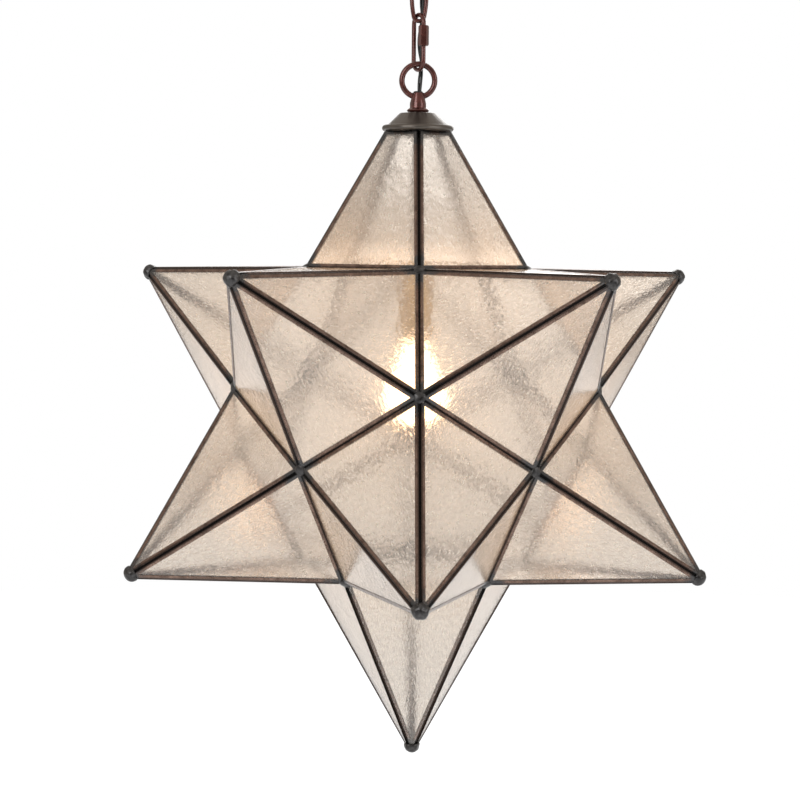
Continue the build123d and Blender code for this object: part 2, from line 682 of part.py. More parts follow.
def make_screw_link():
    bend, half = screw_link_bend_radius, screw_leg / 2
    gap_top = half - screw_gap_drop
    edges = [Line((bend, gap_top, 0), (bend, half, 0)), CenterArc((0, half, 0), bend, 0, 180),
             Line((-bend, half, 0), (-bend, -half, 0)), CenterArc((0, -half, 0), bend, 180, 180),
             Line((bend, -half, 0), (bend, gap_top - screw_gap, 0))]
    body = Plane.XZ * rod([e.edges()[0] for e in edges], screw_link_wire_radius)
    save(screw_place * body, "screw_link")
    bore = screw_link_wire_radius + sleeve_clearance
    nut = hex_nut(sleeve_flats, bore, sleeve_length)
    end = sleeve_flats / 2 - sleeve_end_inset
    corner = sleeve_flats / 2 / cos(radians(30))
    rounding = turned([(bore, 0), (end, 0), (corner, sleeve_chamfer),
                       (corner, sleeve_length - sleeve_chamfer), (end, sleeve_length),
                       (bore, sleeve_length)])
    top = half - sleeve_top_drop
    save(screw_place * (Pos(bend, 0, top - sleeve_length) * (nut & rounding)), "screw_sleeve")


# ---------------------------------------------------------------- canopy
def make_canopy():
    """The domed canopy and what carries it: crossbar, nipple, lock nut, loop and screw collar."""
    hole, low, wall = canopy_neck_radius + canopy_clearance, -canopy_depth, canopy_wall
    rise, width = canopy_depth - canopy_lip, canopy_radius - canopy_crown_radius
    dome = (width**2 + rise**2) / (2 * rise)             # radius of the dome's section
    lip_angle = -degrees(atan2(dome - rise, width))
    centre = (canopy_crown_radius, low + dome)
    outside = CenterArc(centre, dome, -90, 90 + lip_angle)
    inside = CenterArc(centre, dome - wall, -90, 90 + lip_angle)
    edge, seam = outside @ 1, inside @ 1
    rim = Polyline((edge.X, edge.Y), (edge.X, 0), (edge.X - wall, 0), (edge.X - wall, seam.Y),
                   (seam.X, seam.Y))
    crown = Polyline((canopy_crown_radius, low), (hole, low), (hole, low + wall),
                     (canopy_crown_radius, low + wall))
    outline = [*outside.edges(), *rim.edges(), *inside.edges(), *crown.edges()]
    save(revolve(Plane.XZ * make_face(outline), Axis.Z), "canopy")

    grips = [Rot(0, 0, 360 / collar_grips * i) * Pos(collar_radius, 0) * Circle(collar_grip_radius)
             for i in range(collar_grips)]
    blank = Circle(collar_radius) - Circle(canopy_neck_radius + thread_clearance) - grips
    save(Pos(0, 0, low - collar_height) * extrude(blank, collar_height), "screw_collar")

    bar = SlotOverall(crossbar_length, crossbar_width) - Circle(pipe_radius + thread_clearance)
    for side in (1, -1):
        bar -= Pos(side * box_screw_spacing / 2, 0) * Circle(box_screw_hole_radius)
    save(Pos(0, 0, -crossbar_thickness) * extrude(bar, crossbar_thickness), "crossbar")

    neck_top = -canopy_neck_drop
    save(tube(pipe_radius, pipe_bore_radius, neck_top - thread_depth, nipple_rise), "crossbar_nipple")
    nut = hex_nut(lock_nut_flats, pipe_radius + thread_clearance, lock_nut_height)
    save(nut, "crossbar_lock_nut")

    ring = Plane.XZ * Torus(loop_ring_radius, loop_wire_radius)
    neck = Pos(0, 0, loop_mouth) * turned(
        [(0, 0), (canopy_neck_mouth_radius, 0), (canopy_neck_radius, canopy_neck_taper),
         (canopy_neck_radius, canopy_neck_length), (0, canopy_neck_length)])
    top = loop_mouth + canopy_neck_length
    bore = drill(wire_bore_radius, loop_mouth - loop_wire_radius, top)
    thread = drill(pipe_radius + thread_clearance, top - thread_depth - thread_clearance, top)
    save(Pos(0, 0, canopy_ring_z) * (ring + neck - bore - thread), "canopy_loop")


# ---------------------------------------------------------------- supply cord
middle_1_z = (swing_1_z + swing_2_z) / 2
middle_2_z = (swing_2_z + swing_3_z) / 2
middle_3_z = (swing_3_z + swing_4_z) / 2
cord_top_z = -canopy_neck_drop - thread_depth + lead_split_drop
cord_route = [
    (0, 0, cord_top_z),
    (0, 0, canopy_loop_mouth_z - cord_straight_drop),
    (6.3, 7.0, swing_1_z + 3.0),
    (4.6, 2.6, middle_1_z),
    (6.3, 6.1, swing_2_z),
    (2.6, 4.6, middle_2_z),
    (3.6, 6.6, swing_3_z + 2.0),
    (0.3, 3.0, middle_3_z + 2.0),
    (3.3, 7.4, swing_4_z + 3.0),
    (cord_offset, 0, star_mouth_z + cord_dip),
    (cord_offset, 0, star_mouth_z - cord_tail),
]
cord_breaks = {"canopy_cord": (0, 3), "upper_link_cord": (3, 5), "lower_link_cord": (5, 7),
               "screw_link_cord": (7, 10)}


def halfway(i):
    """The middle of the run that leaves point i."""
    a, b = Vector(*cord_route[i]), Vector(*cord_route[i + 1])
    return (a + b) * 0.5


def cord_points(first, last):
    """A stretch of the route, cut in the middle of the runs where it meets its neighbours."""
    inner = [Vector(*p) for p in cord_route[first + 1:last + 1]]
    start = Vector(*cord_route[0]) if first == 0 else halfway(first)
    if last == len(cord_route) - 1:
        return [start] + inner
    return [start] + inner + [halfway(last)]


def bend_radii(points):
    radii = []
    for a, b, c in zip(points, points[1:], points[2:]):
        turn = radians((b - a).get_angle(c - b))
        radii.append(0.45 * min((b - a).length, (c - b).length) / tan(turn / 2))
    return radii


def make_cord():
    for node, (first, last) in cord_breaks.items():
        points = cord_points(first, last)
        radii = bend_radii(points)
        path = FilletPolyline(*points, radius=radii)
        solid = rod(path.edges(), cord_radius)
        area = pi * cord_radius**2
        print(f"{node}: length {path.length:.1f}, volume over section x length "
              f"{solid.volume / (area * path.length):.4f}, radii {[round(r) for r in radii]}")
        save(solid, node)


def make_leads():
    """Two leads out of the nipple, each into a twist-on connector inside the ceiling box."""
    leads, connectors = [], []
    for side in (1, -1):
        x, spread = side * (lead_radius + lead_clearance), side * connector_spread
        points = [Vector(x, 0, cord_top_z), Vector(x, 0, nipple_rise + lead_radius),
                  Vector(spread, 0, lead_bend_height),
                  Vector(spread, 0, connector_base_height + lead_entry)]
        radii = bend_radii(points)
        leads.append(rod(FilletPolyline(*points, radius=radii).edges(), lead_radius))
        cone = Cone(connector_radius, connector_tip_radius, connector_height,
                    align=(Align.CENTER, Align.CENTER, Align.MIN))
        room = drill(lead_radius + lead_clearance, 0, lead_entry + lead_clearance)
        connectors.append(Pos(spread, 0, connector_base_height) * (cone - room))
    save(leads, "supply_leads")
    save(connectors, "wire_connectors")


# ---------------------------------------------------------------- build
os.makedirs("parts", exist_ok=True)
make_points()
make_solder()
make_hinge()
make_door_fittings()
make_loop()
make_bushing()
make_cap()
make_socket()
make_bulb()
make_chain()
make_screw_link()
make_canopy()
make_cord()
make_leads()
hinge_point = door_place * (hinge_side * Pos(hinge_centre_rise, 0, ridge / 2))
hinge_axis = Plane(hinge_point).z_dir
print("joint heights", [round(z, 3) for z in (swing_1_z, swing_2_z, swing_3_z, swing_4_z)])
print("star centre", round(star_z, 3), "mouths", canopy_loop_mouth_z, round(star_mouth_z, 3))
print("door hinge", hinge_point.position, hinge_axis)
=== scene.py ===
"""The finish and fine form of a twelve-pointed leaded glass star pendant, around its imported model.

The file is laid out as an add-on and run as a script.  Metres, +Z up, origin on the ceiling plane,
-Y towards the viewer of the photograph.
"""
import json
from math import acos, atan, atan2, cos, hypot, pi, radians, sin, sqrt, tan
import random

import bpy
from mathutils import Matrix, Vector, noise

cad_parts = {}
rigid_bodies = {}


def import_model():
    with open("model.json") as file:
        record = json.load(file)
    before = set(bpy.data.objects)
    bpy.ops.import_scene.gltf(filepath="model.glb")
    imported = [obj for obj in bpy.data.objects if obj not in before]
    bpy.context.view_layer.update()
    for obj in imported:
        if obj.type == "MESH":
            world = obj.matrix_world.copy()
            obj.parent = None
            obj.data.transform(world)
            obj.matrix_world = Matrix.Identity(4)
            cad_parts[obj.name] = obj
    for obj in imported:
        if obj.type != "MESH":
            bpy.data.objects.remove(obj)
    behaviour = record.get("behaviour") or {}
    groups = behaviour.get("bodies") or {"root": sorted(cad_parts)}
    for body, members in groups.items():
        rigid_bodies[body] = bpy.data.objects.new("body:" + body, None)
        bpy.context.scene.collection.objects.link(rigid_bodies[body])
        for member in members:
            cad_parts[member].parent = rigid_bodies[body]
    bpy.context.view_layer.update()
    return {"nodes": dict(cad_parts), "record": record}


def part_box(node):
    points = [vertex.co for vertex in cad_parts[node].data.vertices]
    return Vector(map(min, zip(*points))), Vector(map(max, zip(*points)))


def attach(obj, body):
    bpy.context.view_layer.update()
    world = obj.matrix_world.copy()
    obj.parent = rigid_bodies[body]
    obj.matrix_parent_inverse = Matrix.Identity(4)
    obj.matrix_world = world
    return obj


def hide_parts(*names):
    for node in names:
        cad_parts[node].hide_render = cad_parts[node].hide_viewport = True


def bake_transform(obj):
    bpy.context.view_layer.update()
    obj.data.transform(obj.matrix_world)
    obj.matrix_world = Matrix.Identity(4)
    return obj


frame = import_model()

bl_info = {
    "name": "Glass star pendant",
    "version": (1, 0, 0),
    "blender": (4, 5, 0),
    "location": "View3D > Sidebar > Glass star",
    "description": "Makes the pieces, finishes and stage of a twelve-pointed glass star pendant",
    "category": "Object",
}

MM = 0.001
FIFTH = 2 * pi / 5
GOLDEN = (1 + sqrt(5)) / 2
FACE_TILT = atan(0.5)


def linear(code):
    """An sRGB hex colour as the linear numbers that a shader takes."""
    parts = [int(code[i:i + 2], 16) / 255 for i in (1, 3, 5)]
    return [c / 12.92 if c <= 0.04045 else ((c + 0.055) / 1.055)**2.4 for c in parts]


# ---------- sizes and colours
def length(name, default, description):
    return bpy.props.FloatProperty(name=name, description=description, default=default, unit="LENGTH")


def colour(name, code, description):
    return bpy.props.FloatVectorProperty(
        name=name, description=description, default=linear(code), subtype="COLOR", size=3)


class StarSizes(bpy.types.PropertyGroup):
    """Sizes of the star's glass and came, and of the small forms that the frame leaves out."""
    panel_base: length("Panel foot", 0.137, "Foot of a glass panel")
    point_height: length("Point height", 0.181, "Height of a point above its foot")
    bottom_height: length("Bottom point height", 0.1905, "Height of the bottom point")
    top_height: length("Top point height", 0.1372, "Height of the open top point")
    opening: length("Top opening", 0.0274, "From the axis to a side of the opening under the cap")
    came_face: length("Came face", 0.0039, "Width of a came seen from outside")
    came_thickness: length("Came thickness", 0.0028, "Depth of a came across the glass")
    came_wall: length("Came wall", 0.0002, "Thickness of the came's rolled lips")
    glass_room: length("Glass room", 0.0009, "From the came's outer edge to the glass")
    glass_thickness: length("Glass thickness", 0.0018, "Thickness of a panel")
    seam_radius: length("Seam radius", 0.0005, "Radius of the solder run in a groove")
    door_gap: length("Door gap", 0.00045, "Extra room round the hinged panel's frame")
    tip_cut: length("Tip cut", 0.009, "The came ends this far below the true tip")
    door_tip_cut: length("Door tip cut", 0.013, "The hinged panel's came ends this far below it")
    tip_cap_rise: length("Tip cap rise", 0.0082, "Height of the solder on a tip")
    node_crown: length("Node crown", 0.0042, "Solder in a corner, outward")
    wire_radius: length("Wire radius", 0.0012, "Radius of one wire of the twisted cord")
    wire_pitch: length("Wire pitch", 0.085, "Length of one full twist of the cord")


class StarColours(bpy.types.PropertyGroup):
    """Colours of the finishes."""
    glass: colour("Glass", "#f7f2ec", "Tint of one face of the rolled glass")
    came: colour("Came", "#5c4a41", "Brown patina on the copper came")
    came_rubbed: colour("Rubbed came", "#a18678", "Copper where the patina is rubbed thin")
    solder: colour("Solder", "#474646", "Blackened solder")
    cap: colour("Cap", "#5a5550", "Pewter finish of the cap")
    bronze: colour("Bronze", "#552a24", "Reddish brown enamel of the chain and loops")
    cord: colour("Cord", "#141414", "Black insulation")
    zinc: colour("Zinc", "#b9bcbe", "Zinc plating of the hidden fittings")
    brass: colour("Brass", "#b08d4f", "Brass of the lampholder")
    lamp: colour("Lamp", "#ffcc96", "Light of the lamp")


def sizes():
    return bpy.context.scene.star_sizes


def colours():
    return bpy.context.scene.star_colours


# ---------- shader helpers
def add(tree, kind, inputs=None, **settings):
    """Add one shader node, with its settings and what its inputs hold or are linked to."""
    node = tree.nodes.new("ShaderNode" + kind)
    for key, value in settings.items():
        setattr(node, key, value)
    for key, value in (inputs or {}).items():
        if isinstance(value, bpy.types.NodeSocket):
            tree.links.new(value, node.inputs[key])
        else:
            node.inputs[key].default_value = value
    return node


def new_material(name):
    """An empty material and its tree."""
    material = bpy.data.materials.new(name)
    material.use_nodes = True
    material.node_tree.nodes.clear()
    return material, material.node_tree


def surfaced(material, shader):
    """A material whose surface is that shader."""
    tree = material.node_tree
    tree.links.new(shader.outputs[0], add(tree, "OutputMaterial").inputs["Surface"])
    return material


def per_metre(millimetres):
    """Scale of a texture whose features are about this many millimetres apart."""
    return 1 / (millimetres * MM)


def grain(tree, millimetres, detail, roughness, coords=None):
    """Noise with features of that size, on the piece's own coordinates unless others are given."""
    if coords is None:
        coords = add(tree, "TexCoord").outputs["Object"]
    return add(tree, "TexNoise", {"Vector": coords, "Scale": per_metre(millimetres),
                                  "Detail": detail, "Roughness": roughness}).outputs["Fac"]


def maths(tree, operation, a, b):
    """One step of arithmetic on two numbers or sockets."""
    return add(tree, "Math", {0: a, 1: b}, operation=operation).outputs[0]


def ramp(tree, value, *stops):
    """Colour ramp of (place, linear colour or grey) stops; its colour output."""
    node = add(tree, "ValToRGB", {"Fac": value})
    elements = node.color_ramp.elements
    while len(elements) < len(stops):
        elements.new(0.5)
    for element, (place, shade) in zip(elements, stops):
        element.position = place
        element.color = [*shade, 1] if hasattr(shade, "__len__") else [shade, shade, shade, 1]
    return node.outputs["Color"]


def mix(tree, factor, a, b, blend="MIX"):
    """Mix two colours; each may be a socket or a linear colour."""
    tinted = [c if isinstance(c, bpy.types.NodeSocket) else [*c, 1] for c in (a, b)]
    node = add(tree, "Mix", {0: factor, 6: tinted[0], 7: tinted[1]}, data_type="RGBA", blend_type=blend)
    return node.outputs[2]


def span(tree, value, low, high, start=0.0, end=1.0):
    """Map a number from low..high to start..end."""
    return add(tree, "MapRange", {"Value": value, "From Min": low, "From Max": high,
                                  "To Min": start, "To Max": end}).outputs[0]


def bump(tree, height, millimetres, strength, under=None):
    """Bump whose full height stands for that many millimetres, over another bump if one is given."""
    node = add(tree, "Bump", {"Height": height, "Distance": millimetres * MM, "Strength": strength})
    if under is not None:
        tree.links.new(under, node.inputs["Normal"])
    return node.outputs["Normal"]


def scaled(shade, factor):
    return [min(c * factor, 1) for c in shade]


# ---------- finishes
GRAIN_SPACING = 2.0           # millimetres between the marks of the glass's grain
GRAIN_DRAW = (1.0, 0.3, 1.0)  # it is drawn out up the panel, where this is small
GRAIN_TURN = 0.5              # radians that the noise itself is turned by
GRAIN_SHADE = 0.84            # tint of its hollows over that of its crests
ROUGHNESS = (0.045, 0.36)     # of the glass in its hollows and on its crests
GRAIN_DEPTH = 0.14            # millimetres, as are the next four
WAVE_SPACING = 8.0
WAVE_DEPTH = 0.2
SEED_SPACING = 6.0
SEED_DEPTH = 0.05
GRAZING = (0.86, 0.74, 0.62)  # tint of the glass seen edge on, where light crosses more of it
GLOW = 0.07                   # strength of the painted glow: light that the glass itself gives off, standing for the lamp's light scattered by its grain
GLOW_REACH = 0.17             # at this distance, in metres
GLOW_FALL = 4.0               # and it falls off with this power of the distance
TOP_POINT_SHADE = (0.77, 0.78, 0.79)     # painted shade: a grey tint that darkens the top point's panels under the cap
TOP_SHADE_FROM = -0.4              # height above which it is painted, in metres
TOP_SHADE_EDGE = 0.02              # over which it fades out below
HAZE = 0.09                   # share of the glass that its fine grain turns milky
HAZE_ROUGHNESS = 0.45
LAMP_STRENGTH = 8.0


def rolled_glass():
    """Seedy rolled soda-lime glass: clear, but its drawn-out grain breaks up what is behind it."""
    material, tree = new_material("rolled_seedy_glass")
    sheet = add(tree, "UVMap", uv_map="sheet").outputs["UV"]
    drawn = add(tree, "Mapping", {
        "Vector": sheet, "Rotation": (0, 0, GRAIN_TURN), "Scale": GRAIN_DRAW}).outputs[0]
    fine = grain(tree, GRAIN_SPACING, 3.0, 0.65, drawn)
    broad = grain(tree, WAVE_SPACING, 2.0, 0.5, sheet)
    seeds = add(tree, "TexVoronoi", {"Vector": drawn, "Scale": per_metre(SEED_SPACING)},
                feature="SMOOTH_F1").outputs["Distance"]
    waved = bump(tree, broad, WAVE_DEPTH, 1.0)
    grained = bump(tree, fine, GRAIN_DEPTH, 1.0, waved)
    seeded = bump(tree, span(tree, seeds, 0.0, 0.16), SEED_DEPTH, 0.5, grained)
    shade = colours().glass
    clear = mix(tree, span(tree, fine, 0.37, 0.61), scaled(shade, GRAIN_SHADE), shade)
    facing = add(tree, "LayerWeight", {"Blend": 0.5}).outputs["Facing"]
    edge_on = [c * k for c, k in zip(shade, GRAZING)]
    tinted = mix(tree, span(tree, facing, 0.5, 0.9), clear, edge_on)
    place = add(tree, "TexCoord").outputs["Object"]
    height = add(tree, "SeparateXYZ", {"Vector": place}).outputs["Z"]
    # painted shade: the upper part of the top point, under the cap, is darkened
    top_shaded = span(tree, height, TOP_SHADE_FROM, TOP_SHADE_FROM + TOP_SHADE_EDGE)
    tinted = mix(tree, top_shaded, tinted, TOP_POINT_SHADE, "MULTIPLY")
    # painted light: the glass gives off a warm glow, strongest near the lamp
    painted_glow = painted_lamp_glow(tree, place)
    shares = []
    for rough in (span(tree, fine, 0.5, 0.7, *ROUGHNESS), HAZE_ROUGHNESS):
        shares.append(add(tree, "BsdfPrincipled", {
            "Base Color": tinted, "Roughness": rough, "IOR": 1.5, "Specular IOR Level": 0.25,
            "Transmission Weight": 0.9, "Normal": seeded,
            "Emission Color": [*colours().lamp, 1], "Emission Strength": painted_glow}).outputs[0])
    both = add(tree, "MixShader", {0: HAZE, 1: shares[0], 2: shares[1]})
    return surfaced(material, both)


def painted_lamp_glow(tree, place):
    """Strength of the glow painted on the glass at a place: emission that stands for the lamp's light
    scattered by its grain.
    """
    low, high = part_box("bulb_glass")
    away = add(tree, "VectorMath", {0: place, 1: (low + high) / 2}, operation="DISTANCE")
    near = maths(tree, "DIVIDE", GLOW_REACH, away.outputs["Value"])
    return maths(tree, "MULTIPLY", maths(tree, "POWER", near, GLOW_FALL), GLOW)


def patinated_came():
    """Copper came blackened with patina: dark brown, rubbed thin in patches on its crown, near black in
    the groove, and grey with solder where it runs into a corner. Along the middle of the crown the
    colour is also lightened by a painted highlight, which fades dark towards the edges."""
    material, tree = new_material("patinated_copper_came")
    shade = colours()
    across = add(tree, "Attribute", attribute_name="across").outputs["Fac"]
    ends = add(tree, "SeparateXYZ", {"Vector": add(tree, "UVMap", uv_map="ends").outputs["UV"]})
    nearest = maths(tree, "MINIMUM", ends.outputs["X"], ends.outputs["Y"])
    patches = grain(tree, 9.0, 4.0, 0.6)
    fine = grain(tree, 1.2, 3.0, 0.6)
    worn = ramp(tree, patches, (0.3, 0.0), (0.8, 1.0))
    # painted highlight: the came's colour is lightest along the middle of its crown and dark towards
    # its edges, as if lit along it; the rubbed patches show within it
    crown = ramp(tree, across, (0.0, 0.0), (0.2, 0.15), (0.45, 0.75), (0.85, 0.8), (1.0, 0.5))
    rubbed = mix(tree, worn, scaled(shade.came, 0.85), shade.came_rubbed)
    body = mix(tree, crown, scaled(shade.came, 0.35), rubbed)
    mottled = mix(tree, span(tree, fine, 0.35, 0.7, 0.0, 0.35), body, scaled(shade.came, 0.4))
    reach = maths(tree, "ADD", nearest, span(tree, patches, 0.3, 0.7, -0.006, 0.006))
    tinned = span(tree, reach, 0.012, 0.022, 1.0, 0.0)
    shadow = ramp(tree, across, (0.0, 0.08), (0.2, 0.5), (0.4, 1.0))
    solder = mix(tree, 1.0, shade.solder, shadow, "MULTIPLY")
    shader = add(tree, "BsdfPrincipled", {
        "Base Color": mix(tree, tinned, mottled, solder), "Metallic": 0.85,
        "Roughness": span(tree, fine, 0.3, 0.7, 0.2, 0.34), "Normal": bump(tree, fine, 0.12, 0.6)})
    return surfaced(material, shader)


def blackened_solder():
    """Solder blackened with patina, shiny on its lumps and black in the seams."""
    material, tree = new_material("blackened_solder")
    shade = colours().solder
    seam_here = add(tree, "Attribute", attribute_name="seam").outputs["Fac"]
    clouds = grain(tree, 4.0, 4.0, 0.6)
    skin = grain(tree, 1.0, 3.0, 0.6)
    worn = ramp(tree, clouds, (0.4, 0.0), (0.7, 1.0))
    tone = mix(tree, worn, scaled(shade, 0.6), scaled(shade, 1.3))
    tone = mix(tree, seam_here, tone, scaled(shade, 0.12))
    shader = add(tree, "BsdfPrincipled", {
        "Base Color": tone, "Metallic": 0.9,
        "Roughness": span(tree, clouds, 0.3, 0.7, 0.24, 0.4), "Normal": bump(tree, skin, 0.14, 0.7)})
    return surfaced(material, shader)


def metal(name, shade, worn_shade, rough, patch=6.0, depth=0.05, metallic=1.0, coat=0.0):
    """A metal or enamelled metal with patches of wear and a fine skin."""
    material, tree = new_material(name)
    clouds = grain(tree, patch, 4.0, 0.6)
    skin = grain(tree, 0.8, 3.0, 0.6)
    worn = ramp(tree, clouds, (0.4, 0.0), (0.72, 1.0))
    tone = mix(tree, worn, shade, worn_shade)
    tone = mix(tree, span(tree, skin, 0.3, 0.75, 0.0, 0.3), tone, scaled(shade, 0.5))
    shader = add(tree, "BsdfPrincipled", {
        "Base Color": tone, "Metallic": metallic, "Coat Weight": coat,
        "Roughness": span(tree, clouds, 0.3, 0.7, rough - 0.06, rough + 0.08),
        "Normal": bump(tree, skin, depth, 0.6)})
    return surfaced(material, shader)


def plastic(name, shade, rough):
    """Moulded plastic with a fine moulded skin."""
    material, tree = new_material(name)
    skin = grain(tree, 0.6, 2.0, 0.5)
    cloud = grain(tree, 8.0, 2.0, 0.5)
    tone = mix(tree, span(tree, cloud, 0.3, 0.7, 0.0, 0.5), shade, scaled(shade, 1.5))
    shader = add(tree, "BsdfPrincipled", {
        "Base Color": tone, "Roughness": span(tree, cloud, 0.3, 0.7, rough - 0.05, rough + 0.08),
        "Normal": bump(tree, skin, 0.03, 0.5)})
    return surfaced(material, shader)


def lit_lamp():
    """The frosted lamp glass, alight."""
    material, tree = new_material("frosted_lamp_glass_lit")
    cloud = grain(tree, 20.0, 2.0, 0.5)
    shader = add(tree, "BsdfPrincipled", {
        "Base Color": [0.9, 0.87, 0.8, 1], "Roughness": 0.4,
        "Emission Color": [*colours().lamp, 1], "Emission Strength": LAMP_STRENGTH,
        "Normal": bump(tree, cloud, 0.05, 0.3)})
    return surfaced(material, shader)


def finish(name):
    """The material of that name, made the first time it is asked for."""
    if name in bpy.data.materials:
        return bpy.data.materials[name]
    shade = colours()
    others = {"rolled_seedy_glass": rolled_glass, "patinated_copper_came": patinated_came,
              "frosted_lamp_glass_lit": lit_lamp, "blackened_solder": blackened_solder}
    metals = {
        "pewter_spun_brass": dict(
            shade=shade.cap, worn_shade=scaled(shade.cap, 1.3), rough=0.34, patch=14.0),
        "bronze_enamel": dict(
            shade=scaled(shade.bronze, 0.8), worn_shade=scaled(shade.bronze, 1.4), rough=0.3,
            patch=5.0, depth=0.03, metallic=0.7, coat=0.5),
        "zinc_plated_steel": dict(shade=shade.zinc, worn_shade=scaled(shade.zinc, 0.7), rough=0.35),
        "drawn_brass": dict(shade=shade.brass, worn_shade=scaled(shade.brass, 0.7), rough=0.3),
        "lamp_base_aluminium": dict(
            shade=linear("#c9c9c6"), worn_shade=linear("#9a9a98"), rough=0.28)}
    plastics = {
        "black_pvc": (shade.cord, 0.38), "black_nylon": (linear("#0e0e0f"), 0.3),
        "connector_plastic": (linear("#b8742e"), 0.4), "glazed_porcelain": (linear("#e9e5dc"), 0.15)}
    if name in others:
        return others[name]()
    if name in metals:
        return metal(name, **metals[name])
    return plastic(name, *plastics[name])


# ---------- modelling helpers
def deselect():
    if bpy.context.mode != "OBJECT":
        bpy.ops.object.mode_set(mode="OBJECT")
    bpy.ops.object.select_all(action="DESELECT")


def activate(piece):
    deselect()
    piece.select_set(True)
    bpy.context.view_layer.objects.active = piece


def start_edit(piece, kind="VERT"):
    activate(piece)
    bpy.ops.object.mode_set(mode="EDIT")
    bpy.ops.mesh.select_mode(type=kind)


def end_edit():
    bpy.ops.object.mode_set(mode="OBJECT")


def select(piece, kind, test):
    """Select the edges whose ends, or the faces whose middle and normal, pass the test."""
    end_edit()
    mesh = piece.data
    for group in (mesh.vertices, mesh.edges, mesh.polygons):
        group.foreach_set("select", [False] * len(group))
    if kind == "EDGE":
        for edge in mesh.edges:
            a, b = (mesh.vertices[i].co for i in edge.vertices)
            edge.select = test(a, b)
    else:
        for face in mesh.polygons:
            face.select = test(face.center, face.normal)
    bpy.ops.object.mode_set(mode="EDIT")
    bpy.ops.mesh.select_mode(type=kind)


def apply_modifier(piece, kind, **settings):
    activate(piece)
    modifier = piece.modifiers.new(kind.lower(), kind)
    for key, value in settings.items():
        setattr(modifier, key, value)
    bpy.ops.object.modifier_apply(modifier=modifier.name)


def smooth(piece, angle):
    """Smooth shading across all edges that turn by less than an angle in degrees."""
    activate(piece)
    bpy.ops.object.shade_smooth_by_angle(angle=radians(angle))


def new_object(name, data):
    """A new object in the scene that holds that data."""
    made = bpy.data.objects.new(name, data)
    bpy.context.scene.collection.objects.link(made)
    return made


def place_mesh(piece, matrix):
    """Move a piece's mesh, and not its origin."""
    piece.data.transform(matrix)
    piece.data.update()


def join(pieces, name):
    """Join pieces into one object at the origin."""
    deselect()
    for piece in pieces:
        piece.select_set(True)
    bpy.context.view_layer.objects.active = pieces[0]
    if len(pieces) > 1:
        bpy.ops.object.join()
    pieces[0].name = name
    return pieces[0]


def copies(model, matrices, name):
    """One object holding a copy of the model at each place."""
    made = []
    for matrix in matrices:
        made.append(new_object(name, model.data.copy()))
        place_mesh(made[-1], matrix)
    return join(made, name)


def body_of(node):
    return next(b for b, nodes in frame["record"]["behaviour"]["bodies"].items() if node in nodes)


def hand_over(piece, name, material, *nodes):
    """Name and finish a piece, and let it stand for its CAD nodes on their body."""
    piece.name = name
    piece.data.name = name
    piece.data.materials.clear()
    piece.data.materials.append(finish(material))
    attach(piece, body_of(nodes[0]))
    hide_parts(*nodes)
    return piece


MERGED = 2e-6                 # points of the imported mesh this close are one
FLAT = 2.0                    # degrees: faces that turn by less are joined
SHARP = 32.0                  # degrees: edges that turn by more are eased


def dressed(node, material, bevel):
    """A merged copy of a CAD node with eased edges and smooth curves."""
    piece = new_object(node + "_piece", frame["nodes"][node].data.copy())
    start_edit(piece)
    bpy.ops.mesh.select_all(action="SELECT")
    bpy.ops.mesh.remove_doubles(threshold=MERGED)
    bpy.ops.mesh.dissolve_limited(angle_limit=radians(FLAT))
    end_edit()
    if bevel:
        apply_modifier(piece, "BEVEL", width=bevel, segments=2, limit_method="ANGLE",
                       angle_limit=radians(SHARP), harden_normals=False)
    smooth(piece, SHARP)
    return hand_over(piece, node + "_piece", material, node)


# ---------- where things stand
DOOR_POINT = "upper_point_1"  # its panel 0 is the hinged one


def star():
    """Worked-out sizes of the star, as a dictionary of metres, radians and places."""
    s = sizes()
    base, height = s.panel_base, s.point_height
    inradius = base / 2 * sqrt((25 + 11 * sqrt(5)) / 10)
    apothem = base / (2 * tan(FIFTH / 2))
    radius = base / (2 * sin(FIFTH / 2))
    half = s.came_thickness / 2
    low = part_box("solder_joints")[0].z
    centre = low + inradius + s.bottom_height - s.tip_cut + s.tip_cap_rise
    top_virtual = s.top_height * apothem / (apothem - s.opening)
    valley = (2 * pi - 2 * atan(GOLDEN) - 2 * atan2(height, apothem)) / 2
    return {
        "base": base, "height": height, "inradius": inradius, "apothem": apothem, "radius": radius,
        "half": half, "centre": Vector((0, 0, centre)), "top_virtual": top_virtual,
        "valley": valley, "foot_inset": half / tan(valley)}


def half_ridge(g, height):
    """Half the angle inside a point between two of its panels."""
    between = (height**2 * cos(FIFTH) + g["apothem"]**2) / (g["apothem"]**2 + height**2)
    return (pi - acos(between)) / 2


def side_inset(g, height):
    """How far a panel's came stands back from the ridge, so that its inner corner meets the next."""
    return g["half"] / tan(half_ridge(g, height))


def heights(g):
    """Height of each point, by name; the top point's is that of its missing tip."""
    usual = {name: g["height"] for name in point_places(g["centre"])}
    return usual | {"top_point": g["top_virtual"], "bottom_point": sizes().bottom_height}


def axes_matrix(origin, x, z):
    """Matrix of a frame with that origin, X way and Z way."""
    z = z.normalized()
    x = (x - z * x.dot(z)).normalized()
    y = z.cross(x)
    return Matrix((
        (x.x, y.x, z.x, origin.x), (x.y, y.y, z.y, origin.y), (x.z, y.z, z.z, origin.z), (0, 0, 0, 1)))


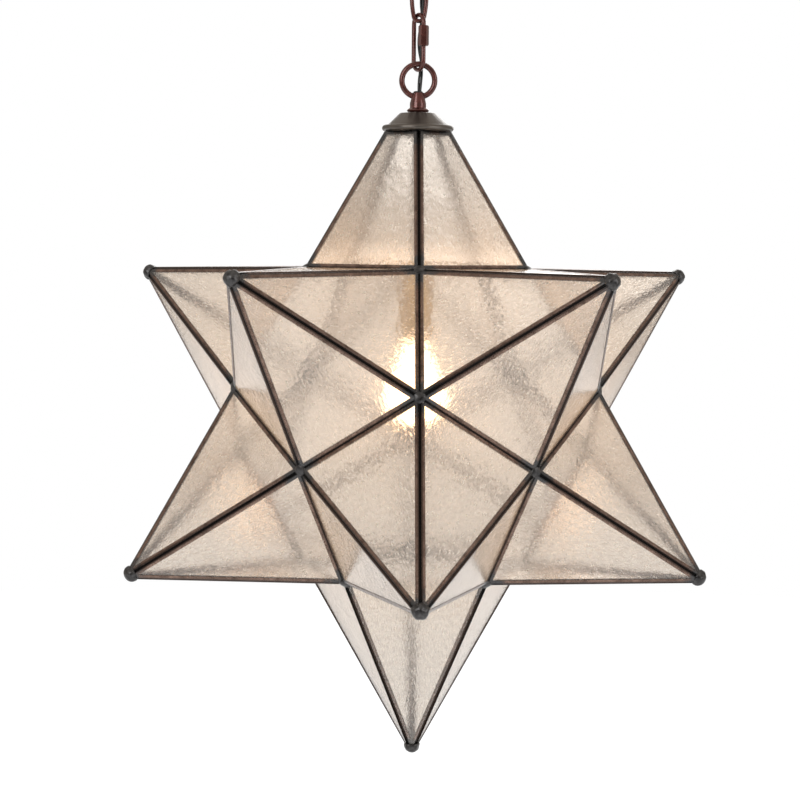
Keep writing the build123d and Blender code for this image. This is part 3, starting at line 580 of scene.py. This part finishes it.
def point_places(centre):
    """Name and place of each point: Z along its axis, X towards its level foot."""
    places = {}
    for side, first in ((1, pi / 2), (-1, -pi / 2)):
        for i in range(5):
            a, tilt = first + FIFTH * i, side * FACE_TILT
            axis = Vector((cos(tilt) * cos(a), cos(tilt) * sin(a), sin(tilt)))
            up = Vector((-sin(tilt) * cos(a), -sin(tilt) * sin(a), cos(tilt)))
            ring = "upper" if side > 0 else "lower"
            places[f"{ring}_point_{i + 1}"] = axes_matrix(centre, up * side, axis)
    places["top_point"] = axes_matrix(centre, Vector((0, 1, 0)), Vector((0, 0, 1)))
    places["bottom_point"] = axes_matrix(centre, Vector((0, -1, 0)), Vector((0, 0, -1)))
    return places


def panel_matrix(g, height):
    """Place of panel 0 in its point's frame: X along the foot, Y up the panel, Z outward."""
    slant = hypot(g["apothem"], height)
    out = Vector((height / slant, 0, g["apothem"] / slant))
    return axes_matrix(Vector((g["apothem"], 0, g["inradius"])), Vector((0, 1, 0)), out)


def panel_corners(g, height, inset, top=None):
    """Corners of a panel set in by so much from its came's outer edge, in the panel's plane."""
    slant = hypot(g["apothem"], height)
    edge = hypot(slant, g["base"] / 2)
    side, foot = side_inset(g, height) + inset, g["foot_inset"] + inset

    def half_width(y):
        return (slant - y) * g["base"] / 2 / slant - side * edge / slant

    corners = [Vector((-half_width(foot), foot, 0)), Vector((half_width(foot), foot, 0))]
    if top is None:
        return corners + [Vector((0, slant - 2 * side * edge / g["base"], 0))]
    top -= inset
    return corners + [Vector((half_width(top), top, 0)), Vector((-half_width(top), top, 0))]


def top_edge(g):
    """Upper edge of the top point's came, up its panel."""
    slant = hypot(g["apothem"], g["top_virtual"])
    return (sizes().top_height - g["half"] * g["apothem"] / slant) * slant / g["top_virtual"]


# ---------- came
def side_distance(point, a, b):
    """Distance of a point in the panel's plane from the side a-b, inward."""
    way = (b - a).normalized()
    return way.x * (point.y - a.y) - way.y * (point.x - a.x)


# the crown's steps: inward as shares of the came's face, outward as shares of its half depth
CAME_ROLL = ((0.06, 0.25), (0.10, 0.17), (0.14, 0.11), (0.20, 0.07), (0.20, -0.03), (0.17, -0.11),
             (0.13, -0.14))
CAME_SHOULDER = 0.5           # height of the straight side above the middle, in half depths


def corner_plate(corners, height):
    """A flat face with those corners at that height, seen from above."""
    deselect()
    bpy.ops.mesh.primitive_circle_add(vertices=len(corners), radius=0.05, fill_type="NGON")
    piece = bpy.context.active_object
    for vertex, corner in zip(piece.data.vertices, corners):
        vertex.co = corner + Vector((0, 0, height))
    start_edit(piece, "FACE")
    bpy.ops.mesh.select_all(action="SELECT")
    bpy.ops.mesh.normals_make_consistent(inside=False)
    return piece


def cut_off(piece, cut_plane):
    """Cut a piece at a plane and close it."""
    start_edit(piece)
    bpy.ops.mesh.select_all(action="SELECT")
    bpy.ops.mesh.bisect(plane_co=cut_plane[0], plane_no=cut_plane[1], use_fill=True, clear_outer=True)
    end_edit()


def came_frame(corners, cut_plane=None):
    """The rolled U-shaped came round one panel, in the panel's plane: each inset of the plate's
    face is one step over the came's crown."""
    s = sizes()
    half, face = s.came_thickness / 2, s.came_face
    piece = corner_plate(corners, -half)
    bpy.ops.mesh.extrude_region_move(
        TRANSFORM_OT_translate={"value": (0, 0, (1 + CAME_SHOULDER) * half)})
    for inward, outward in CAME_ROLL:
        bpy.ops.mesh.inset(thickness=inward * face, depth=outward * half)
    bpy.ops.mesh.delete(type="FACE")
    select(piece, "FACE", lambda centre, normal: centre.z < -0.99 * half)
    bpy.ops.mesh.inset(thickness=face, depth=0)
    bpy.ops.mesh.delete(type="FACE")
    end_edit()
    apply_modifier(piece, "SOLIDIFY", thickness=s.came_wall, offset=-1.0, use_even_offset=True)
    if cut_plane:
        cut_off(piece, cut_plane)
    mark_came(piece, corners)
    smooth(piece, 40)
    return piece


def mark_came(piece, corners):
    """Write how far across the came each vertex lies, and how far each corner is from its ends."""
    mesh, face = piece.data, sizes().came_face
    sides = [(corners[i], corners[(i + 1) % len(corners)]) for i in range(len(corners))]
    across = mesh.attributes.new("across", "FLOAT", "POINT")
    for vertex in mesh.vertices:
        inward = min(side_distance(vertex.co, a, b) for a, b in sides)
        across.data[vertex.index].value = max(0.0, min(1.0, inward / face))
    layer = mesh.uv_layers.new(name="ends")
    for polygon in mesh.polygons:
        a, b = min(sides, key=lambda side: side_distance(polygon.center, *side))
        way = (b - a).normalized()
        for loop in polygon.loop_indices:
            point = mesh.vertices[mesh.loops[loop].vertex_index].co
            layer.data[loop].uv = ((point - a).dot(way), (b - point).dot(way))


def tip_plane(g, height, cut):
    """Point and normal of the cut below a tip, in the panel's plane."""
    inverse = panel_matrix(g, height).inverted()
    point = inverse @ Vector((0, 0, g["inradius"] + height - cut))
    normal = (inverse.to_3x3() @ Vector((0, 0, 1))).normalized()
    return point, normal


def turns(skip=()):
    return [Matrix.Rotation(FIFTH * k, 4, "Z") for k in range(5) if k not in skip]


def panel_models(make, inset):
    """A panel's piece for each height of point, made by make(corners, cut plane), with its place."""
    g, s = star(), sizes()
    models = {}
    for height in (g["height"], s.bottom_height):
        corners = panel_corners(g, height, inset)
        models[height] = (make(corners, tip_plane(g, height, s.tip_cut)), panel_matrix(g, height))
    corners = panel_corners(g, g["top_virtual"], inset, top_edge(g))
    models[g["top_virtual"]] = (make(corners, None), panel_matrix(g, g["top_virtual"]))
    return models


def fill_points(kind, make, inset, material):
    """Make one piece for each point out of copies of its panel's model, and the door's own."""
    g, s = star(), sizes()
    models = panel_models(make, inset)
    high = heights(g)
    places = point_places(g["centre"])
    for name, place in places.items():
        model, panel = models[high[name]]
        skip = (0,) if name == DOOR_POINT else ()
        piece = copies(model, [place @ turn @ panel for turn in turns(skip)], kind)
        hand_over(piece, f"{kind}_{name}_piece", material, f"{kind}_{name}")
    for model, _ in models.values():
        bpy.data.objects.remove(model)
    corners = panel_corners(g, g["height"], inset + s.door_gap)
    door = make(corners, tip_plane(g, g["height"], s.door_tip_cut))
    place_mesh(door, places[DOOR_POINT] @ panel_matrix(g, g["height"]))
    hand_over(door, f"door_{kind}_piece", material, f"door_{kind}")


class GLASSSTAR_OT_cames(bpy.types.Operator):
    """Roll the came round all sixty panels"""
    bl_idname = "glass_star.cames"
    bl_label = "Cames"

    def execute(self, context):
        fill_points("came", came_frame, 0.0, "patinated_copper_came")
        return {"FINISHED"}


# ---------- glass
GLASS_CUTS = 22
GLASS_TIP_ROOM = 0.0001       # the glass ends this far inside its came's tip
SHEET_SHIFT = (0.37, 0.29)    # metres of the sheet from one panel to the next, and one point
RIPPLE_DEPTH = 0.00012
RIPPLE_SPACING = 0.03


def glass_panel(corners, cut_plane=None):
    """One panel of rolled glass, in the panel's plane, with its plane laid out as UVs in metres."""
    s = sizes()
    piece = corner_plate(corners, 0)
    bpy.ops.mesh.subdivide(number_cuts=GLASS_CUTS)
    end_edit()
    apply_modifier(piece, "SOLIDIFY", thickness=s.glass_thickness, offset=0.0)
    if cut_plane:
        point, normal = cut_plane
        cut_off(piece, (point - normal * GLASS_TIP_ROOM, normal))
    layer = piece.data.uv_layers.new(name="sheet")
    for polygon in piece.data.polygons:
        for loop in polygon.loop_indices:
            point = piece.data.vertices[piece.data.loops[loop].vertex_index].co
            layer.data[loop].uv = (point.x, point.y)
    return piece


class GLASSSTAR_OT_glass(bpy.types.Operator):
    """Cut the sixty panels of rolled glass, a little wavy, each from another part of the sheet"""
    bl_idname = "glass_star.glass"
    bl_label = "Glass panels"

    def execute(self, context):
        fill_points("glass", glass_panel, sizes().glass_room, "rolled_seedy_glass")
        for i, name in enumerate(point_places(star()["centre"])):
            ripple(bpy.data.objects[f"glass_{name}_piece"], 4 if name == DOOR_POINT else 5, i)
        ripple(bpy.data.objects["door_glass_piece"], 1, 12)
        return {"FINISHED"}


def ripple(piece, panels, sheet):
    """Bend the faces of the panels by a shallow wave, and take each panel from another part of
    the sheet by a shift of its UVs."""
    mesh = piece.data
    moves = [v.normal * noise.noise(v.co / RIPPLE_SPACING) * RIPPLE_DEPTH for v in mesh.vertices]
    for vertex, move in zip(mesh.vertices, moves):
        vertex.co += move
    layer = mesh.uv_layers["sheet"]
    share = len(mesh.polygons) // panels
    for polygon in mesh.polygons:
        offset = Vector((polygon.index // share * SHEET_SHIFT[0], sheet * SHEET_SHIFT[1]))
        for loop in polygon.loop_indices:
            layer.data[loop].uv += offset
    smooth(piece, 30)


# ---------- solder
NODE_REACH = 0.005            # a seam starts this far from its corner
NODE_SPREAD = 0.0062          # radius of the solder in a corner
NODE_LIFT = 0.75              # its height over that of the corner's solid crown
NODE_LOBE = 0.08              # depth of its three lobes, as a share of its radius
TIP_SPREAD = 1.04             # solder on a tip, over the came's own reach
TIP_LOBE = 0.05               # depth of its five lobes
DROP_UNEVEN = 0.11
DROP_ROUND = 0.8              # power of the drop's profile, 1 for a ball
DROP_BELOW = 0.45             # depth below its seat, as a share of its height
SEAM_UNEVEN = 0.22
VALLEY_SEAM = 1.5             # a valley's seam over a ridge's
NODE_SEED = 40                # first seed of the corners' lumps, after the tips'
VALLEY_SEED = 100             # first seed of the valleys' seams, after the ridges'


def star_corners(g):
    """The twenty corners of the dodecahedron, with the three points' axes at each."""
    axes = [m.to_3x3() @ Vector((0, 0, 1)) for m in point_places(g["centre"]).values()]
    reach = hypot(g["inradius"], g["radius"])
    found = []
    for i, a in enumerate(axes):
        for j, b in enumerate(axes[:i]):
            for c in axes[:j]:
                if min(a.dot(b), b.dot(c), a.dot(c)) > 0:
                    found.append(((a + b + c).normalized() * reach, a))
    return found


def solder_drop(radius, height, seed, lobes, lobe):
    """A rounded lump of solder, flat side down at z = 0, a little uneven."""
    deselect()
    bpy.ops.mesh.primitive_uv_sphere_add(segments=30, ring_count=16, radius=1.0)
    piece = bpy.context.active_object
    draw = random.Random(seed)
    shift = Vector((draw.random(), draw.random(), draw.random())) * 50
    for vertex in piece.data.vertices:
        co = vertex.co
        turn = atan2(co.y, co.x)
        swell = 1 + lobe * cos(lobes * turn) + DROP_UNEVEN * noise.noise(co * 2.2 + shift)
        lift = abs(co.z)**DROP_ROUND * (1 if co.z > 0 else -DROP_BELOW)
        vertex.co = Vector((co.x * radius * swell, co.y * radius * swell, lift * height))
    smooth(piece, 180)
    return piece


def seam(start, end, outward, radius, seed):
    """A slightly uneven solder run from start to end, its centre on that line."""
    deselect()
    bpy.ops.mesh.primitive_cylinder_add(vertices=8, radius=1.0, depth=1.0, end_fill_type="NGON")
    piece = bpy.context.active_object
    select(piece, "EDGE", lambda a, b: abs(a.z - b.z) > 0.5)
    bpy.ops.mesh.subdivide(number_cuts=14)
    end_edit()
    reach = (end - start).length
    for vertex in piece.data.vertices:
        co = vertex.co
        swell = radius * (1 + SEAM_UNEVEN * noise.noise(Vector((co.z * 9, seed * 3.7, 0))))
        vertex.co = Vector((co.x * swell, co.y * swell, co.z * reach))
    place_mesh(piece, axes_matrix((start + end) / 2, outward, end - start))
    mark = piece.data.attributes.new("seam", "FLOAT", "POINT")
    mark.data.foreach_set("value", [1.0] * len(piece.data.vertices))
    smooth(piece, 60)
    return piece


def foot_corner(g, turn):
    """Corner of a point's foot at that turn, in the point's frame."""
    return Vector((g["radius"] * cos(turn), g["radius"] * sin(turn), g["inradius"]))


def ridge_seams(g):
    """Solder runs in the grooves of all ridges but the hinged panel's two."""
    s, made = sizes(), []
    for name, place in point_places(g["centre"]).items():
        height = heights(g)[name]
        half = half_ridge(g, height)
        root = side_inset(g, height) * cos(half) + g["half"] * sin(half)
        rise = s.seam_radius / cos(half) - root
        for k in range(5):
            if name == DOOR_POINT and k in (0, 4):
                continue
            turn = FIFTH * (k + 0.5)
            foot = foot_corner(g, turn)
            tip = Vector((0, 0, g["inradius"] + height))
            along = (tip - foot).normalized()
            radial = Vector((cos(turn), sin(turn), 0))
            out = (radial - along * radial.dot(along)).normalized()
            top = foot + (tip - foot) * (s.top_height / height) if name == "top_point" else tip
            start = foot + along * NODE_REACH + out * rise
            end = top - along * s.tip_cut + out * rise
            made.append(seam(place @ start, place @ end, place.to_3x3() @ out,
                             s.seam_radius, len(made)))
    return made


def valley_seams(g):
    """Solder runs where the feet of two points meet, but not under the hinged panel."""
    s, made, seen = sizes(), [], set()
    for name, place in point_places(g["centre"]).items():
        for k in range(5):
            ends = [place @ foot_corner(g, FIFTH * (k + t)) for t in (-0.5, 0.5)]
            middle = (ends[0] + ends[1]) / 2
            key = tuple(round(c, 4) for c in middle)
            known = key in seen
            seen.add(key)
            if known or (name == DOOR_POINT and k == 0):
                continue
            out = (middle - g["centre"]).normalized()
            rise = out * (g["half"] / sin(g["valley"]) - VALLEY_SEAM * s.seam_radius)
            way = (ends[1] - ends[0]).normalized() * NODE_REACH
            made.append(seam(ends[0] + way + rise, ends[1] - way + rise, out,
                             VALLEY_SEAM * s.seam_radius, VALLEY_SEED + len(made)))
    return made


class GLASSSTAR_OT_solder(bpy.types.Operator):
    """Run solder over the tips and corners and along the seams"""
    bl_idname = "glass_star.solder"
    bl_label = "Solder joints"

    def execute(self, context):
        g, s = star(), sizes()
        made = ridge_seams(g) + valley_seams(g)
        high = heights(g)
        for i, (name, place) in enumerate(point_places(g["centre"]).items()):
            if name == "top_point":
                continue
            height = high[name]
            seat = g["inradius"] + height - s.tip_cut
            foot = (s.tip_cut * g["apothem"] + g["half"] * hypot(g["apothem"], height)) / height
            drop = solder_drop(foot / cos(FIFTH / 2) * TIP_SPREAD, s.tip_cap_rise, i, 5, TIP_LOBE)
            turn = Matrix.Rotation(FIFTH / 2, 4, "Z")
            place_mesh(drop, place @ Matrix.Translation((0, 0, seat)) @ turn)
            made.append(drop)
        for i, (corner, axis) in enumerate(star_corners(g)):
            drop = solder_drop(NODE_SPREAD, s.node_crown * NODE_LIFT, NODE_SEED + i, 3, NODE_LOBE)
            place_mesh(drop, axes_matrix(g["centre"] + corner, axis, corner))
            made.append(drop)
        hand_over(join(made, "solder"), "solder_run", "blackened_solder", "solder_joints")
        return {"FINISHED"}


# ---------- fittings
# each finish with its nodes and the width that their edges are eased by
FITTINGS = {
    "bronze_enamel": (
        ("hanging_loop", 0.0004), ("canopy_loop", 0.0004), ("canopy", 0.0003),
        ("screw_collar", 0.0005), ("upper_chain_link", 0), ("lower_chain_link", 0),
        ("screw_link", 0.0003), ("screw_sleeve", 0.0003)),
    "pewter_spun_brass": (("vase_cap", 0.0005), ("cap_washer", 0.0001)),
    "zinc_plated_steel": (
        ("crossbar", 0.0003), ("crossbar_nipple", 0.0002), ("crossbar_lock_nut", 0.0003),
        ("cap_lock_nut", 0.0003), ("lamp_pipe", 0.0002), ("hinge_pins", 0.0001)),
    "drawn_brass": (("socket_cap", 0.0003), ("socket_shell", 0.0002)),
    "glazed_porcelain": (("socket_liner", 0.0003),),
    "lamp_base_aluminium": (("bulb_base", 0.0003),),
    "frosted_lamp_glass_lit": (("bulb_glass", 0),),
    "black_nylon": (("wire_bushing", 0.0003),),
    "connector_plastic": (("wire_connectors", 0.0004),),
    "patinated_copper_came": (
        ("star_hinge_tubes", 0.0002), ("door_hinge_tubes", 0.0002), ("door_clip", 0.0001),
        ("door_pull", 0))}


class GLASSSTAR_OT_fittings(bpy.types.Operator):
    """Ease the edges of the cap, loops, chain, canopy, lampholder and door fittings"""
    bl_idname = "glass_star.fittings"
    bl_label = "Fittings"

    def execute(self, context):
        for material, nodes in FITTINGS.items():
            for node, bevel in nodes:
                dressed(node, material, bevel)
        return {"FINISHED"}


# ---------- supply cord
CORD_ROUTE = [
    (0, 0, -0.025), (0, 0, -0.048), (0.0063, 0.007, -0.0665), (0.0046, 0.0026, -0.0925),
    (0.0063, 0.0061, -0.1155), (0.0026, 0.0046, -0.13885), (0.0036, 0.0066, -0.1602),
    (0.0003, 0.003, -0.18435), (0.0033, 0.0074, -0.2075), (0.0011, 0, -0.2268), (0.0011, 0, -0.2413)]
STRETCHES = (
    ("canopy_cord", 0, 3, "canopy", "upper_link", "upper_link_swing"),
    ("upper_link_cord", 3, 5, "upper_link", "lower_link", "lower_link_swing"),
    ("lower_link_cord", 5, 7, "lower_link", "screw_link", "screw_link_swing"),
    ("screw_link_cord", 7, 10, "screw_link", "star", "star_swing"))
CORD_TURN = -2.07             # radians, where the twist starts
STRAND = 0.98                 # a wire's radius over half the distance between the two
# the right lead's points, sideways and up
LEAD_ROUTE = ((0.00125, -0.025), (0.00125, 0.0077), (0.009, 0.024), (0.009, 0.036))


def stretch_points(first, last):
    """A stretch of the route, cut in the middle of the runs where it meets its neighbours."""
    route = [Vector(p) for p in CORD_ROUTE]
    start = route[0] if first == 0 else (route[first] + route[first + 1]) / 2
    points = [start] + route[first + 1:last + 1]
    return points if last == len(route) - 1 else points + [(route[last] + route[last + 1]) / 2]


def curve_along(points, kind, name):
    """A curve with one spline of that kind along the points."""
    curve = bpy.data.curves.new(name, "CURVE")
    curve.dimensions = "3D"
    curve.resolution_u = 24
    spline = curve.splines.new(kind)
    spline.points.add(len(points) - 1)
    for target, point in zip(spline.points, points):
        target.co = (*point, 1)
    return new_object(name, curve)


def followed(points):
    """The points of the smooth line through a stretch, read from its NURBS spline."""
    holder = curve_along(points, "NURBS", "route")
    spline = holder.data.splines[0]
    spline.order_u = 3
    spline.use_endpoint_u = True
    bpy.context.view_layer.update()
    depsgraph = bpy.context.evaluated_depsgraph_get()
    mesh = bpy.data.meshes.new_from_object(holder.evaluated_get(depsgraph))
    line = [v.co.copy() for v in mesh.vertices]
    bpy.data.meshes.remove(mesh)
    bpy.data.objects.remove(holder)
    return line


def tube_along(line, radius, name):
    """A round mesh tube along a line of points."""
    piece = curve_along(line, "POLY", name)
    piece.data.bevel_depth = radius
    piece.data.bevel_resolution = 3
    piece.data.use_fill_caps = True
    activate(piece)
    bpy.ops.object.convert(target="MESH")
    return bpy.context.active_object


def twisted_pair(line, start_turn, name):
    """Two wires wound round a line; returns the piece and the turn at its end."""
    s = sizes()
    strands = ([], [])
    turn, side = start_turn, Vector((1, 0, 0))
    for i, point in enumerate(line):
        way = (line[min(i + 1, len(line) - 1)] - line[max(i - 1, 0)]).normalized()
        side = (side - way * side.dot(way)).normalized()
        other = way.cross(side)
        if i:
            turn += 2 * pi * (point - line[i - 1]).length / s.wire_pitch
        offset = (side * cos(turn) + other * sin(turn)) * s.wire_radius
        strands[0].append(point + offset)
        strands[1].append(point - offset)
    wires = [tube_along(strand, s.wire_radius * STRAND, name) for strand in strands]
    return join(wires, name), turn


class GLASSSTAR_OT_cord(bpy.types.Operator):
    """Twist the two-wire supply cord along the chain, and its leads up to their connectors"""
    bl_idname = "glass_star.cord"
    bl_label = "Supply cord"

    def execute(self, context):
        s = sizes()
        turn = CORD_TURN
        for node, first, last, above, below, joint in STRETCHES:
            line = followed(stretch_points(first, last))
            piece, turn = twisted_pair(line, turn, node + "_pair")
            smooth(piece, 60)
            piece.data.materials.clear()
            piece.data.materials.append(finish("black_pvc"))
            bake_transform(piece)
            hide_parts(node)
        for side, name in ((1, "supply_lead_right"), (-1, "supply_lead_left")):
            points = [Vector((side * x, 0, z)) for x, z in LEAD_ROUTE]
            line = followed(points)
            piece = tube_along(line, s.wire_radius, name)
            smooth(piece, 60)
            hand_over(piece, name, "black_pvc", "supply_leads")
        return {"FINISHED"}


# ---------- stage
FOCAL_LENGTH = 96.2           # millimetres
SENSOR = 36                   # millimetres across
VIEW_DISTANCE = 2.1642
VIEW_DOWN = radians(4.245)
VIEW_ROLL = radians(0.54)
STAR_TURN = radians(0.868)
AIM_SHIFT = Vector((-0.01534, 0, 0.01972))
FLOOR_HEIGHT = -2.2
ROOM = 0.25                   # brightness that gloss sees on the viewer's side
ROOM_TONE = (1.0, 0.92, 0.84)  # and its warmth
SIDES = 0.95                  # brightness that gloss sees at the sides
BACKDROP = 0.4                # brightness that gloss sees behind the star
MATT_LIGHT = 0.55             # brightness of the world for matt surfaces
FLOOR_GLOW = 0.7              # light that the camera, gloss and glass see on the floor
FLOOR_RADIUS = 9.0
LIGHT_SIZE = 1.6
LIGHTS = (("key_light", (-1.6, -2.2, 0.6), 34), ("fill_light", (2.2, -1.6, 0.0), 20),
          ("back_light", (0.4, 2.4, 0.4), 18))


def white_background():
    """A white world for what the camera and the glass see.  What gloss sees is a studio: bright
    sides and ceiling, a dimmer backdrop and a dim room on the viewer's side.  Matt surfaces get an
    even light."""
    world = bpy.data.worlds.new("white_studio")
    world.use_nodes = True
    tree = world.node_tree
    tree.nodes.clear()
    path = add(tree, "LightPath").outputs
    seen = maths(tree, "MAXIMUM", path["Is Camera Ray"], path["Is Transmission Ray"])
    way = add(tree, "SeparateXYZ", {"Vector": add(tree, "TexCoord").outputs["Generated"]}).outputs
    front = span(tree, way["Y"], -0.5, 0.0, ROOM, SIDES)
    back = span(tree, way["Y"], 0.3, 0.85, SIDES, BACKDROP)
    ceiling = span(tree, way["Z"], 0.15, 0.8, ROOM, 1.0)
    studio = maths(tree, "MAXIMUM", maths(tree, "MINIMUM", front, back), ceiling)
    matt = span(tree, path["Is Glossy Ray"], 0, 1, MATT_LIGHT, 0.0)
    gloss = maths(tree, "MULTIPLY", path["Is Glossy Ray"], studio)
    strength = maths(tree, "MAXIMUM", maths(tree, "ADD", matt, gloss), seen)
    tone = mix(tree, path["Is Glossy Ray"], (1, 1, 1), ROOM_TONE)
    shader = add(tree, "Background", {"Color": tone, "Strength": strength})
    output = add(tree, "OutputWorld")
    tree.links.new(shader.outputs[0], output.inputs["Surface"])
    bpy.context.scene.world = world


def floor_material():
    """Pale matt floor that keeps the shadow and reads white to the camera, gloss and glass."""
    material, tree = new_material("pale_floor")
    path = add(tree, "LightPath").outputs
    seen = maths(tree, "MAXIMUM", path["Is Camera Ray"], path["Is Transmission Ray"])
    seen = maths(tree, "MAXIMUM", seen, path["Is Glossy Ray"])
    matt = add(tree, "BsdfDiffuse", {"Color": [0.8, 0.8, 0.8, 1]})
    strength = span(tree, seen, 0, 1, 0, FLOOR_GLOW)
    glow = add(tree, "Emission", {"Color": [1, 1, 1, 1], "Strength": strength})
    both = add(tree, "AddShader", {0: matt.outputs[0], 1: glow.outputs[0]})
    return surfaced(material, both)


def soft_light(name, place, aim, watts):
    lamp = bpy.data.lights.new(name, "AREA")
    lamp.shape = "DISK"
    lamp.size = LIGHT_SIZE
    lamp.energy = watts
    holder = new_object(name, lamp)
    holder.location = place
    holder.rotation_euler = (Vector(aim) - Vector(place)).to_track_quat("-Z", "Y").to_euler()


class GLASSSTAR_OT_stage(bpy.types.Operator):
    """Set the floor, the soft lights, the white background and the camera"""
    bl_idname = "glass_star.stage"
    bl_label = "Stage"

    def execute(self, context):
        white_background()
        deselect()
        bpy.ops.mesh.primitive_circle_add(vertices=64, radius=FLOOR_RADIUS, fill_type="NGON",
                                          location=(0, 0, FLOOR_HEIGHT))
        floor = bpy.context.active_object
        floor.name = "floor"
        floor.data.materials.append(floor_material())
        centre = star()["centre"]
        for name, place, watts in LIGHTS:
            soft_light(name, place, centre, watts)
        forward = Vector((0, cos(VIEW_DOWN), -sin(VIEW_DOWN)))
        up = Vector((0, sin(VIEW_DOWN), cos(VIEW_DOWN)))
        right = Vector((1, 0, 0))
        turned_right = right * cos(VIEW_ROLL) + up * sin(VIEW_ROLL)
        turned_up = up * cos(VIEW_ROLL) - right * sin(VIEW_ROLL)
        eye = AIM_SHIFT - forward * VIEW_DISTANCE
        columns = Matrix((turned_right, turned_up, -forward)).transposed().to_4x4()
        columns.translation = eye
        camera_data = bpy.data.cameras.new("camera")
        camera_data.lens = FOCAL_LENGTH
        camera_data.sensor_width = SENSOR
        camera = new_object("camera", camera_data)
        camera.matrix_world = Matrix.Translation(centre) @ Matrix.Rotation(-STAR_TURN, 4, "Z") @ columns
        bpy.context.scene.camera = camera
        bpy.context.scene.view_settings.view_transform = "Standard"
        return {"FINISHED"}


class GLASSSTAR_PT_panel(bpy.types.Panel):
    """The operators in the sidebar"""
    bl_idname = "GLASSSTAR_PT_panel"
    bl_label = "Glass star"
    bl_space_type = "VIEW_3D"
    bl_region_type = "UI"
    bl_category = "Glass star"

    def draw(self, context):
        for operator in OPERATORS:
            self.layout.operator(operator.bl_idname)


OPERATORS = (GLASSSTAR_OT_stage, GLASSSTAR_OT_fittings, GLASSSTAR_OT_cord, GLASSSTAR_OT_cames,
             GLASSSTAR_OT_glass, GLASSSTAR_OT_solder)
CLASSES = (StarSizes, StarColours, *OPERATORS, GLASSSTAR_PT_panel)


def register():
    for kind in CLASSES:
        bpy.utils.register_class(kind)
    bpy.types.Scene.star_sizes = bpy.props.PointerProperty(type=StarSizes)
    bpy.types.Scene.star_colours = bpy.props.PointerProperty(type=StarColours)


def unregister():
    del bpy.types.Scene.star_sizes
    del bpy.types.Scene.star_colours
    for kind in reversed(CLASSES):
        bpy.utils.unregister_class(kind)


def main():
    register()
    bpy.ops.glass_star.stage()
    bpy.ops.glass_star.fittings()
    bpy.ops.glass_star.cord()
    bpy.ops.glass_star.cames()
    bpy.ops.glass_star.glass()
    bpy.ops.glass_star.solder()
    deselect()


if __name__ == "__main__":
    main()
